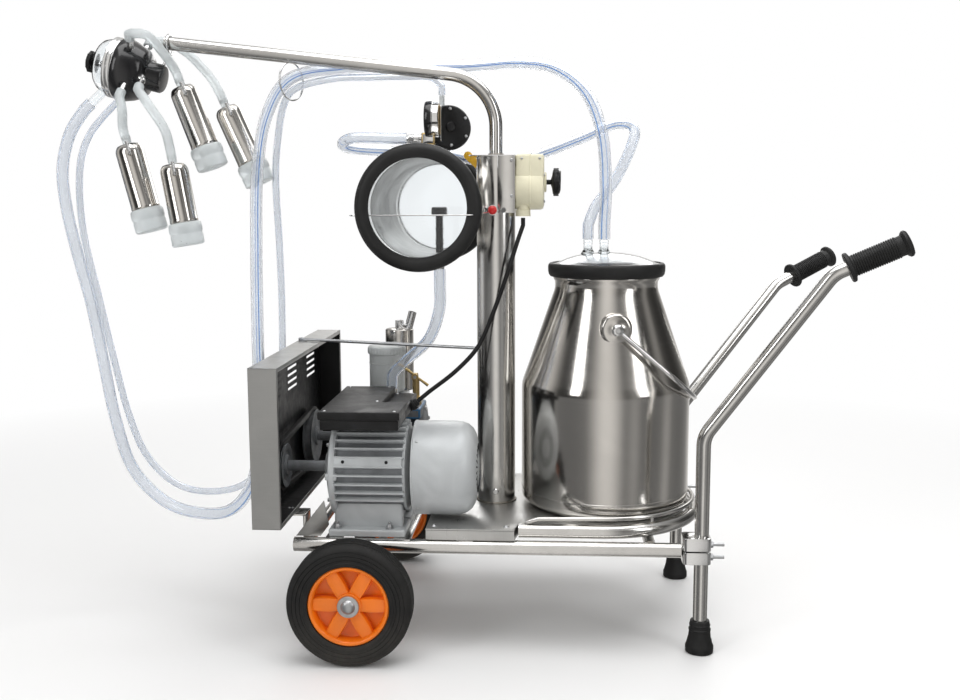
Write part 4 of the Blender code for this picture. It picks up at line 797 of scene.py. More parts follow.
def frame_pieces():
    build = Build()
    for _, side in SIDES:
        y = side * RAIL_Y
        build.rod((-0.345, y, RAIL_Z), (0.326, y, RAIL_Z), TUBE_R, "polished_tube", 40, bore=0.0107)
        for end, way in ((-0.345, -1), (0.326, 1)):
            build.lathe([(0, 0.0012), (0.0085, 0.0010), (0.0105, -0.001), (0.0105, -0.012), (0, -0.012)],
                        (end, y, RAIL_Z), (way, 0, 0), "black_mould_and_opening_shade", 32)
        # axle bracket plate, and its weld under the rail
        outline = [(-0.030, 0.0), (-0.016, -0.086), *arc((0.0, -0.073), 0.0200, 218, 322, 10),
                   (0.016, -0.086),
                   (0.030, 0.0)]
        build.plate(outline, 0.005, (-0.232, y, RAIL_Z - 0.004), X, Z, "brushed_sheet")
        build.rod((-0.258, y + 0.003 * side, RAIL_Z - 0.0118), (-0.206, y + 0.003 * side, RAIL_Z - 0.0118),
                  0.0018,
                  "weld_bead", 10)
        # gusset that carries the belt guard's shelf
        gusset = [(-0.342, 0.0), (-0.293, 0.062), (-0.285, 0.020), (-0.300, 0.0)]
        build.plate(gusset, 0.003, (0.0, side * 0.183, 0.1925), X, (0, 0, 0.30), "brushed_sheet")
    for x in (-0.325, 0.276):
        build.rod((x, -RAIL_Y, RAIL_Z), (x, RAIL_Y, RAIL_Z), 0.010, "polished_tube", 32)
        for _, side in SIDES:
            weld_bead(build, (x, side * (RAIL_Y - 0.0118), RAIL_Z), (0, 1, 0), 0.0102)
    for x in (-0.290, -0.170, -0.060):
        build.block((x, -RAIL_Y - 0.006, RAIL_TOP - 0.004), (x + 0.030, RAIL_Y + 0.006, RAIL_TOP + 0.0006),
                    "brushed_sheet", 0.0008)
        for _, side in SIDES:
            for edge in (x, x + 0.030):
                build.rod((edge, side * (RAIL_Y - 0.008), RAIL_TOP - 0.003),
                          (edge, side * (RAIL_Y + 0.006), RAIL_TOP - 0.003), 0.0014, "weld_bead", 8)
    for y in (-0.140, 0.140):
        build.block((-0.392, y - 0.020, 0.2204), (-0.331, y + 0.020, 0.2237), "brushed_sheet", 0.0006)
        build.block((-0.336, y - 0.020, RAIL_Z), (-0.331, y + 0.020, 0.2230), "brushed_sheet", 0.0006)
        hexagon(build, (-0.368, y, 0.2204), (0, 0, -1), 0.010, 0.005)
        hexagon(build, (-0.350, y, 0.2204), (0, 0, -1), 0.008, 0.004)
    build.rod((-0.232, -0.2975, 0.106), (-0.232, 0.2975, 0.106), 0.008, "zinc_plate", 32, chamfer=0.001)
    for _, side in SIDES:
        # collar inside each wheel; washer and pressed cap outside it
        build.lathe([(0.0084, 0.006), (0.013, 0.006), (0.014, 0.005), (0.014, 0.0), (0.0084, 0.0)],
                    (-0.232, side * 0.2365, 0.106), (0, -side, 0), "zinc_plate", 32, closed=True)
        build.lathe([(0, 0.0072), (0.006, 0.0070), (0.0105, 0.0050), (0.0122, 0.0022), (0.0180, 0.0018),
                     (0.0186, 0.0010), (0.0186, 0.0), (0, 0.0)], (-0.232, side * 0.2945, 0.106), (0, side, 0),
                    "zinc_plate", 40)
    build.done("frame_welded", slot="steel", replaces=("frame_weldment",))

    build = Build()
    skin = [(-0.112, -0.196), (0.040, -0.196), (0.046, -0.160), (0.190, -0.160),
            *arc((0.190, 0.0), 0.160, -80, 80, 40),
            (0.190, 0.160), (0.046, 0.160), (0.040, 0.196), (-0.112, 0.196)]
    low = RAIL_TOP + 0.0009
    build.plate(skin, 0.003, (0, 0, DECK_TOP - 0.0015), X, Y, "deck_sheet", 0.0012)
    build.plate(skin, DECK_TOP - 0.0032 - low, (0, 0, (DECK_TOP - 0.0032 + low) / 2), X, Y, "deck_sheet",
                0.0006,
                holes=([(-0.109, -0.193), (0.038, -0.193), (0.038, 0.193), (-0.109, 0.193)],
                       [(0.047, -0.100), (0.290, -0.100), (0.290, 0.100), (0.047, 0.100)]))
    for x, y in ((-0.100, -0.180), (-0.100, 0.180), (0.026, -0.180), (0.026, 0.180)):
        screw_head(build, (x, y, DECK_TOP), Z, 0.0055)
    build.done("deck_tray", slot="brushed", replaces=("deck_plate",))

    build = Build()
    z = RAIL_TOP + TUBE_R + 0.0009
    path = [Vector((0.0475, -0.175, z)), Vector((0.120, -0.175, z))]
    path += [Vector((x, y, z)) for x, y in arc((0.192, 0.0), 0.175, -90, 90, 64)]
    path += [Vector((0.120, 0.175, z)), Vector((0.0475, 0.175, z))]
    build.sweep(path, 0.0122, "polished_tube", 36, bore=0.0105)
    # thin rail welded above the tube on short studs
    upper = [Vector((x, y, 0.2275)) for x, y in arc((0.192, 0.0), 0.175, -92, 92, 72)]
    build.sweep([Vector((0.062, -0.1755, 0.2200)), Vector((0.082, -0.1755, 0.2262)), *upper,
                 Vector((0.082, 0.1755, 0.2262)), Vector((0.062, 0.1755, 0.2200))], 0.0038, "polished_tube",
                18)
    for angle in (-60, -20, 20, 60):
        x, y = arc((0.192, 0.0), 0.175, angle, angle, 1)[0]
        build.rod((x, y, z + 0.010), (x, y, 0.2275), 0.0034, "polished_tube", 14)
        weld_bead(build, (x, y, z + 0.0119), Z, 0.0038, 0.0009)
    build.done("bucket_rest_tube", slot="steel", replaces=("bucket_guard_tube",))


# ---------------------------------------------------------------- wheels
def wheels():
    wide = 0.052
    for name, side in SIDES:
        place, way, body = (-0.232, side * 0.297, 0.106), (0, side, 0), "wheel_" + name
        tread = [(0.0693, 0.0002), (0.0745, 0.0021), (0.0760, 0.0021), (0.0772, 0.0012), (0.0806, 0.0016),
                 (0.0812, 0.0008), (0.0818, 0.0016), (0.0872, 0.0016), (0.0878, 0.0008), (0.0884, 0.0016),
                 (0.0940, 0.0014), (0.0946, 0.0006), (0.0952, 0.0012), (0.0980, 0.0008), (0.1005, -0.0010),
                 (0.1036, -0.0040), (0.1056, -0.0075), (0.1060, -0.0100)]
        for groove in (-0.0135, -0.0195, -0.0255, -0.0315, -0.0375):
            tread += [(0.1060, groove + 0.0012), (0.1034, groove + 0.0007), (0.1034, groove - 0.0007),
                      (0.1060, groove - 0.0012)]
        tread += [(0.1060, -0.0420), (0.1056, -0.0445), (0.1036, -0.0480), (0.1005, -0.0510),
                  (0.0965, -0.0530),
                  (0.0772, -0.0532), (0.0760, -0.0541), (0.0745, -0.0541), (0.0693, -0.0520)]
        tread = [(r, h if h > -0.02 else h + 0.002) for r, h in tread]
        build = Build().lathe(tread, place, way, "tyre_rubber", 128, closed=True)
        build.done("tyre_solid_" + name, body, "tyre", ("tyre_" + name,))

        build = Build()
        outer = [(0.0610, -0.0060), (0.0630, -0.0035), (0.0650, -0.0022), (0.0670, -0.0022),
                 (0.0688, -0.0040),
                 (0.0688, -wide + 0.005), (0.0670, -wide + 0.003), (0.0640, -wide + 0.003), (0.0600, -0.036),
                 (0.0580, -0.0335), (0.0300, -0.0335), (0.0225, -0.0350), (0.0190, -wide - 0.0005),
                 (0.0085, -wide - 0.0005), (0.0085, -0.0050), (0.0175, -0.0045), (0.0212, -0.0060),
                 (0.0235, -0.0240), (0.0300, -0.0255), (0.0575, -0.0255), (0.0598, -0.0240)]
        build.lathe(outer, place, way, "orange_rim", 96, closed=True)
        petal = [(0.0190, -0.0066), (0.0330, -0.0078), (0.0470, -0.0078), (0.0615, -0.0064),
                 (0.0615, 0.0064), (0.0470, 0.0078), (0.0330, 0.0078), (0.0190, 0.0066)]
        spoke = Build().plate(petal, 0.0200, (0, 0, -0.0185), X, Y, "orange_rim", 0.0050)
        build.repeat(spoke, 6, start=0, step=60, place=place, direction=way)
        build.done("rim_moulded_" + name, body, "orange", ("rim_" + name,))


# ---------------------------------------------------------------- handles
def handles():
    # height of the lower bend, twist outwards, slope and run up to the upper bend, rise of the grip, its start
    for name, side, low, twist, slope, run, rise, offset in (
            ("near", -1, 0.378, 8.0, 54.2, 0.3417, 24.3, 0.023),
                                                             ("far", 1, 0.350, 24.0, 47.7, 0.3387, 23.4,
                                                              0.040)):
        twist, slope, rise = math.radians(twist), math.radians(slope), math.radians(rise)
        away = Vector((math.cos(twist), side * math.sin(twist), 0))
        foot, low_bend = Vector((0.361, side * RAIL_Y, 0.014)), Vector((0.361, side * RAIL_Y, low))
        top_bend = low_bend + run * (math.cos(slope) * away + math.sin(slope) * Z)
        along = math.cos(rise) * away + math.sin(rise) * Z
        start, long = top_bend + offset * along, 0.1036
        path = fillet_path([foot, low_bend, top_bend, start + (long - 0.012) * along], 0.050, math.radians(4))
        Build().sweep(path, 0.0122, "polished_tube", 40).done("handle_tube_" + name,
                                                              replaces=("handle_" + name,))

        base = (foot.x, foot.y, 0.0)
        profile = [(0, 0.010), (0.0123, 0.010), (0.0123, 0.056), (0.0158, 0.056), (0.0166, 0.0548),
                   (0.0170, 0.0500),
                   (0.0180, 0.0490), (0.0180, 0.0470), (0.0172, 0.0460), (0.0178, 0.0420), (0.0190, 0.0410),
                   (0.0190, 0.0390), (0.0182, 0.0380), (0.0192, 0.0280), (0.0228, 0.0140), (0.0242, 0.0110),
                   (0.0242, 0.0015), (0.0232, 0.0), (0, 0.0)]
        Build().lathe(profile, base, Z, "black_rubber", 48).done("leg_foot_" + name, slot="rubber",
                                                                 replaces=("foot_" + name,))

        profile = [(0, long), (0.0150, long), (0.0195, long - 0.001), (0.0222, long - 0.0038),
                   (0.0222, long - 0.0075), (0.0195, long - 0.0105), (0.0172, long - 0.0120),
                   (0.0168, long - 0.0150), (0.0168, 0.0120), (0.0178, 0.0090), (0.0240, 0.0068),
                   (0.0252, 0.0050),
                   (0.0252, 0.0015), (0.0240, 0.0), (0.0124, 0.0), (0.0124, long - 0.010), (0, long - 0.010)]
        build = Build().lathe(profile, start, along, "black_rubber", 48)
        ring = Build().lathe([(0.0160, -0.0013), (0.0172, -0.0013), (0.0181, -0.0007), (0.0181, 0.0007),
                              (0.0172, 0.0013), (0.0160, 0.0013)], (0, 0, 0), Z, "black_rubber", 40,
                             closed=True)
        build.repeat(ring, 19, rise=0.0038, place=start + 0.0130 * along, direction=along)
        build.done("hand_grip_" + name, slot="rubber", replaces=("grip_" + name,))

        # clamp: two saddle halves pulled together by two bolts
        y = side * RAIL_Y
        build = Build()
        bite = rounded(-0.0225, -0.020, 0.0225, 0.020, 0.006)
        leg = [(0.0095 + r, s) for r, s in arc((0, 0), 0.0129, 0, 345, 23)]
        for low, high in ((0.160, 0.1815), (0.1835, 0.206)):
            build.plate([(x + 0.0270, s) for x, s in [(a - 0.0270, b) for a, b in bite]], high - low,
                        (0.3515, y, (low + high) / 2), X, Y, "chrome_fitting", 0.0012, holes=(leg,))
        for z in (0.172, 0.194):
            build.rod((0.330, y - 0.010, z), (0.398, y - 0.010, z), 0.0033, "zinc_plate", 20)
            hexagon(build, (0.3738, y - 0.010, z), X, 0.011, 0.0055)
            build.lathe([(0.0034, 0.0012), (0.0078, 0.0012), (0.0078, 0), (0.0034, 0)],
                        (0.3736, y - 0.010, z), X,
                        "zinc_plate", 28, closed=True)
        build.done("leg_clamp_" + name, slot="zinc", replaces=("clamp_" + name,))


# ---------------------------------------------------------------- post, arm and switch
def post_and_arm():
    build = Build()
    build.rod((0, 0, DECK_TOP + 0.0003), (0, 0, 0.856), 0.0354, "polished_tube", 96, bore=0.0334)
    weld_bead(build, (0, 0, DECK_TOP + 0.0014), Z, 0.0362, 0.0018)
    # cap plate and the sheet collar under it, with its slots and bolts
    cap = rounded(-0.047, -0.038, 0.0358, 0.036, 0.003)
    build.plate(cap, 0.0022, (0, 0, 0.8556), X, Y, "chrome_fitting")
    # folded switch bracket with two long slots, its edges turned back along the post
    outline = [(-0.040, 0.753), (0.034, 0.753), (0.034, 0.855), (-0.040, 0.855)]
    slots = [rounded(-0.034, z, -0.014, z + 0.006, 0.0029) for z in (0.772, 0.836)]
    slots += [rounded(0.012, z, 0.029, z + 0.006, 0.0029) for z in (0.772, 0.836)]
    build.plate(outline, 0.0018, (0.0349, 0, 0), Y, Z, "chrome_fitting", 0.0005, holes=slots)
    build.block((0.0050, -0.0400, 0.753), (0.0356, -0.0384, 0.855), "chrome_fitting", 0.0005)
    build.block((0.0050, 0.0354, 0.753), (0.0356, 0.0370, 0.855), "chrome_fitting", 0.0005)
    for z in (0.775, 0.839):
        hexagon(build, (0.0338, -0.024, z), (-1, 0, 0), 0.008, 0.004)
        build.rod((0.030, -0.0384, z + 0.008), (0.030, -0.0430, z + 0.008), 0.0028, "zinc_plate", 16,
                  chamfer=0.0006)
    # band round the post with the tapped boss that takes the red cap
    build.lathe([(0.0353, -0.006), (0.0366, -0.006), (0.0366, 0.006), (0.0353, 0.006)], (0, 0, 0.758), Z,
                "chrome_fitting", 96, closed=True)
    build.rod((-0.004, -0.030, 0.758), (-0.004, -0.0465, 0.758), 0.0092, "chrome_fitting", 32)
    hexagon(build, (0.014, -0.036, 0.758), (0.25, -0.97, 0), 0.0095, 0.007, "chrome_fitting")
    hexagon(build, (-0.021, -0.033, 0.758), (-0.35, -0.94, 0), 0.0085, 0.008, "chrome_fitting")
    build.lathe([(0, 0.0120), (0.0045, 0.0116), (0.0072, 0.0095), (0.0082, 0.0060), (0.0082, 0.0), (0, 0)],
                (-0.004, -0.0455, 0.758), (0, -1, 0), "red_cap", 32)
    # drain socket low on the post
    build.lathe([(0, 0.004), (0.0042, 0.004), (0.0060, 0.002), (0.0060, 0), (0, 0)], (0, -0.0352, 0.236),
                (0, -1, 0),
                "chrome_fitting", 24)
    build.done("post_column", replaces=("post",))

    build = Build()
    end, corner, radius = Vector((-0.608, 0, 1.064)), Vector((0, 0, 0.993)), 0.0120
    path = fillet_path([(0, 0, 0.8573), corner, end], 0.095, math.radians(4))
    build.sweep(path, radius, "polished_tube", 40, bore=0.0104)
    weld_bead(build, (0, 0, 0.8584), Z, 0.0126)
    slope = (end.z - corner.z) / (end.x - corner.x)
    centre = Vector((-0.375, 0, corner.z + slope * -0.375 - radius - 0.032))
    across = Vector((0.42, 0.907, 0))
    ring = [centre + 0.034 * (math.cos(a) * across + math.sin(a) * Z) for a in
            (2 * math.pi * i / 60 for i in range(60))]
    build.sweep(ring, 0.0016, "chrome_fitting", 14, cyclic=True)
    build.done("hanging_arm", replaces=("arm",))

    build = Build()
    build.block((0.0362, -0.030, 0.803), (0.0880, 0.034, 0.858), "cream_mould", 0.0050, 4)
    build.block((0.0620, -0.0306, 0.8026), (0.0634, 0.0346, 0.8584), "cream_mould", 0.0006)
    build.lathe([(0, 0.0520), (0.0300, 0.0520), (0.0365, 0.0500), (0.0388, 0.0460), (0.0388, 0.0275),
                 (0.0394, 0.0268), (0.0394, 0.0250), (0.0388, 0.0243), (0.0388, 0.0030), (0.0370, 0.0),
                 (0, 0)],
                (0.0364, 0.002, 0.797), X, "cream_mould", 80)
    build.lathe([(0, 0.0560), (0.0165, 0.0560), (0.0180, 0.0545), (0.0180, 0.0500), (0, 0.0500)],
                (0.0364, 0.002, 0.808), X, "cream_mould", 48)
    build.lathe([(0, 0.0280), (0.0092, 0.0280), (0.0105, 0.0265), (0.0112, 0.0130), (0.0132, 0.0110),
                 (0.0138, 0.0),
                 (0, 0)], (0.050, -0.012, 0.7465), Z, "cream_mould", 40)
    ring = Build().lathe([(0, 0.0018), (0.0022, 0.0016), (0.0030, 0.0), (0, 0)], (0.0335, 0, 0.0518), Z,
                         "zinc_plate", 14)
    build.repeat(ring, 4, start=45, step=90, place=(0.0364, 0.002, 0.797), direction=X)
    for y, z in ((-0.0306, 0.812), (-0.0306, 0.850)):
        screw_head(build, (0.0480, y, z), (0, -1, 0), 0.0024)
        screw_head(build, (0.0800, y, z), (0, -1, 0), 0.0024)
    build.done("switch_housing", slot="cream", replaces=("switch_box",))

    build = Build()
    build.lathe([(0, 0.0300), (0.0140, 0.0298), (0.0200, 0.0280), (0.0236, 0.0245), (0.0245, 0.0210),
                 (0.0240, 0.0180), (0.0215, 0.0155), (0.0120, 0.0140), (0.0068, 0.0125), (0.0062, 0.0120),
                 (0.0045, 0.0118), (0.0045, 0.0), (0, 0.0)], (0.0885, 0.002, 0.808), X, "black_mould_and_opening_shade", 56)
    flute = Build().block((0.0228, -0.0018, 0.0165), (0.0252, 0.0018, 0.0262), "black_mould_and_opening_shade", 0.0009)
    build.repeat(flute, 8, start=0, step=45, place=(0.0885, 0.002, 0.808), direction=X)
    build.block((0.1170, -0.0008, 0.8085), (0.1189, 0.0048, 0.8285), "dial_white", 0.0004)
    build.done("switch_hand_knob", "switch_knob", "black", ("switch_knob",))

    build = Build()
    x, z = -0.028, 0.832
    build.rod((x, 0.0362, z), (x, 0.0640, z), 0.0100, "chrome_fitting", 36, chamfer=0.001)
    hexagon(build, (x, 0.0440, z), Y, 0.0245, 0.0140, "chrome_fitting")
    build.rod((x, 0.0510, z), (x, 0.0510, z + 0.024), 0.0080, "brass", 32, chamfer=0.001)
    build.rod((x, 0.0600, z), (x, 0.0690, z), 0.0038, "brass", 20, chamfer=0.0005)
    build.done("vacuum_valve_body", slot="zinc", replaces=("vacuum_valve",))
    outline = arc((0.0, 0.0), 0.0092, 60, 300, 24) + [(0.016, -0.0058), (0.037, -0.0066)]
    outline += arc((0.0395, 0.0), 0.0068, -80, 80, 10) + [(0.037, 0.0066), (0.016, 0.0058)]
    build = Build().plate(outline, 0.0034, (x, 0.0667, z), (-0.72, 0, 0.69), (0.69, 0, 0.72), "amber_dip",
                          0.0012,
                          holes=([(0.0042 * math.cos(a), 0.0042 * math.sin(a)) for a in
                                  (2 * math.pi * i / 24 for i in range(24))],))
    build.done("valve_hand_lever", "valve_lever", "amber", ("valve_lever",))


# ---------------------------------------------------------------- tank, gauge and pulsator
TANK = Vector((-0.124, 0, 0.763))


def tank_pieces():
    near, far, wall = -0.165, 0.200, 0.0875
    build = Build()
    length = far - near
    build.lathe([(wall - 0.002, length), (wall, length), (wall, 0.0), (wall - 0.002, 0.0)],
                (TANK.x, near, TANK.z), Y, "polished_tube", 128, closed=True)
    # dark inner sheet just inside the drum: painted shade inside the tank, seen through the windows
    build.lathe([(wall - 0.0026, length - 0.030), (wall - 0.0019, length - 0.030), (wall - 0.0019, 0.030),
                 (wall - 0.0026, 0.030)], (TANK.x, near, TANK.z), Y, "drum_inner_shade", 128, closed=True)
    build.block((TANK.x + 0.080, -0.012, TANK.z - 0.016), (-0.0360, 0.012, TANK.z + 0.016), "brushed_sheet",
                0.001)
    for z in (-0.009, 0.009):
        hexagon(build, (-0.044, -0.012, TANK.z + z), (0, -1, 0), 0.007, 0.004)
    low = TANK.z - wall
    build.rod((-0.108, 0.030, low + 0.001), (-0.108, 0.030, low - 0.028), 0.0090, "chrome_fitting", 32,
              bore=0.0068)
    weld_bead(build, (-0.108, 0.030, low + 0.0005), Z, 0.0096, 0.0011)
    build.done("tank_drum", slot="steel", replaces=("tank_shell",))
    build = Build()
    build.rod((-0.108, 0.030, low + 0.003), (-0.108, 0.030, TANK.z - 0.003), 0.0068, "black_mould_and_opening_shade", 32)
    build.rod((-0.122, 0.030, TANK.z - 0.008), (-0.094, 0.030, TANK.z - 0.008), 0.0082, "black_mould_and_opening_shade", 32,
              chamfer=0.001)
    for z in (0.694, 0.700, 0.722):
        build.lathe([(0.0066, 0.0026), (0.0078, 0.0022), (0.0078, 0.0004), (0.0066, 0.0)],
                    (-0.108, 0.030, z), Z,
                    "black_mould_and_opening_shade", 32, closed=True)
    build.done("tank_standpipe", slot="black")
    for name, y, side in (("near", near, -1), ("far", far, 1)):
        top, groove, deep = 0.0145, 0.0875, 0.030
        place, way = (TANK.x, y, TANK.z), (0, side, 0)
        # fat rounded rim outside, a lip inside, and the groove that holds the window
        mid, half = top - deep / 2, deep / 2
        profile = [(0.0952 + 0.0138 * math.cos(a), mid + half * math.sin(a)) for a in
                   (math.radians(118 - 236 * i / 22) for i in range(23))]
        profile = [(0.0842, 0.0095), (0.0850, 0.0118), *profile, (0.0880, top - deep), (0.0878, 0.0006),
                   (groove, 0.0006), (groove, 0.0066), (0.0845, 0.0066), (0.0838, 0.0078)]
        Build().lathe(profile, place, way, "black_rubber", 128, closed=True).done(
            "tank_rim_" + name, slot="rubber", replaces=("tank_seal_" + name,))
        Build().lathe([(0, 0.0064), (0.0866, 0.0062), (0.0870, 0.0058), (0.0870, 0.0013), (0.0866, 0.0009),
                       (0, 0.0007)],
                      place, way, "clear_plastic", 128).done("tank_disc_" + name, slot="clear",
                                                            replaces=("tank_window_" + name,))
    # wire bail across the near end, hooked to the post's band
    wire = fillet_path([(-0.2350, -0.1500, 0.7500), (-0.2395, -0.1825, 0.7505), (-0.0290, -0.1825, 0.7510),
                        (-0.0100, -0.0430, 0.7545)], 0.006, math.radians(12))
    build = Build().sweep(wire, 0.0011, "chrome_fitting", 12)
    build.done("window_wire", slot="steel")


def gauge_pieces():
    z = 0.922
    build = Build()
    # chromed back shell, black bezel, domed glass and a plain dial
    build.lathe([(0.0280, 0.0), (0.0312, 0.0), (0.0320, 0.0010), (0.0320, 0.0105), (0.0335, 0.0115),
                 (0.0335, 0.0122),
                 (0.0280, 0.0122)], (-0.1032, 0, z), (-1, 0, 0), "chrome_fitting", 72, closed=True)
    build.lathe([(0, 0.0), (0.0282, 0.0), (0.0282, 0.0100), (0, 0.0100)], (-0.1032, 0, z), (-1, 0, 0),
                "brass", 48)
    build.lathe([(0.0276, 0.0116), (0.0330, 0.0116), (0.0340, 0.0128), (0.0340, 0.0215), (0.0322, 0.0248),
                 (0.0296, 0.0258), (0.0276, 0.0250)], (-0.1032, 0, z), (-1, 0, 0), "black_gloss", 72,
                closed=True)
    build.lathe([(0, 0.0122), (0.0275, 0.0122), (0.0275, 0.0104), (0, 0.0104)], (-0.1032, 0, z), (-1, 0, 0),
                "dial_white", 48)
    tick = Build().block((0.0212, -0.0003, 0.0122), (0.0262, 0.0003, 0.0126), "black_mould_and_opening_shade", 0)
    build.repeat(tick, 11, start=-45, step=27, place=(-0.1032, 0, z), direction=(-1, 0, 0))
    build.rod((-0.122, 0, z - 0.032), (-0.122, 0, 0.8620), 0.0060, "brass", 24)
    hexagon(build, (-0.122, 0, 0.8590), Z, 0.018, 0.0110, "brass")
    build.block((-0.136, -0.011, 0.876), (-0.111, 0.011, 0.898), "brass", 0.003, 3)
    build.rod((-0.122, 0, 0.8620), (-0.122, 0, 0.8512), 0.0092, "brass", 32, chamfer=0.0008)
    barbs = [(0.0048, 0.0300), (0.0076, 0.0292), (0.0084, 0.0262), (0.0076, 0.0260), (0.0084, 0.0212),
             (0.0076, 0.0210), (0.0084, 0.0162), (0.0076, 0.0160), (0.0076, 0.0070), (0.0092, 0.0060),
             (0.0092, 0.0), (0.0048, 0.0)]
    build.lathe(barbs, (-0.134, 0, 0.888), (-1, 0, 0), "chrome_fitting", 32, closed=True)
    build.rod((-0.120, 0.0095, 0.886), (-0.120, 0.0393, 0.886), 0.0058, "brass", 24)
    hexagon(build, (-0.120, 0.0110, 0.886), Y, 0.0150, 0.0070, "brass")
    # flat steel strap that carries the pulsator
    build.plate(rounded(-0.010, -0.034, 0.010, 0.030, 0.004), 0.0016, (-0.1010, 0.012, 0.918), Y, Z,
                "chrome_fitting")
    build.done("vacuum_gauge", slot="brushed", replaces=("gauge_case",))
    build = Build()
    build.lathe([(0, 0.0282), (0.0100, 0.0276), (0.0190, 0.0262), (0.0262, 0.0240), (0.0272, 0.0228),
                 (0.0272, 0.0216), (0.0190, 0.0246), (0.0100, 0.0262), (0, 0.0268)], (-0.1032, 0, z),
                (-1, 0, 0),
                "clear_plastic", 64)
    build.done("gauge_glass", slot="clear")
    build = Build()
    build.plate([(-0.0022, -0.006), (0.0022, -0.006), (0.0012, 0.005), (0.0003, 0.021), (-0.0003, 0.021),
                 (-0.0012, 0.005)], 0.0009, (-0.1192, 0, z), Y, Z, "black_mould_and_opening_shade", 0.0001)
    build.lathe([(0, 0.0034), (0.0024, 0.0032), (0.0032, 0.0020), (0.0032, 0.0), (0, 0)], (-0.1167, 0, z),
                (-1, 0, 0),
                "black_mould_and_opening_shade", 24)
    build.done("gauge_pointer", "gauge_needle", "black", ("gauge_needle",))

    place, way = Vector((-0.090, 0.062, 0.912)), Vector((0.38, -0.92, 0.10)).normalized()
    build = Build()
    build.lathe([(0, 0.0062), (0.0300, 0.0060), (0.0385, 0.0048), (0.0410, 0.0020), (0.0418, -0.0020),
                 (0.0418, -0.0040), (0.0404, -0.0048), (0.0404, -0.0068), (0.0418, -0.0076),
                 (0.0418, -0.0118),
                 (0.0395, -0.0160), (0.0260, -0.0220), (0.0120, -0.0240), (0, -0.0242)], place, way,
                "black_mould_and_opening_shade", 72)
    rim = Build().lathe([(0, 0.0022), (0.0026, 0.0020), (0.0034, 0.0), (0, 0)], (0.0340, 0, 0.0050), Z,
                        "zinc_plate", 14)
    build.repeat(rim, 6, start=30, step=60, place=place, direction=way)
    build.lathe([(0, 0.0100), (0.0080, 0.0096), (0.0100, 0.0076), (0.0105, 0.0050), (0, 0.0050)], place, way,
                "black_gloss", 40)
    build.lathe([(0, 0.0350), (0.0042, 0.0345), (0.0052, 0.0320), (0.0046, 0.0310), (0.0052, 0.0270),
                 (0.0046, 0.0260),
                 (0.0050, 0.0100), (0.0064, 0.0090), (0.0064, 0.0), (0, 0)], (-0.105, 0.066, 0.9368), Z,
                "milky_jar", 28)
    build.done("pulsator_body", slot="black", replaces=("pulsator",))


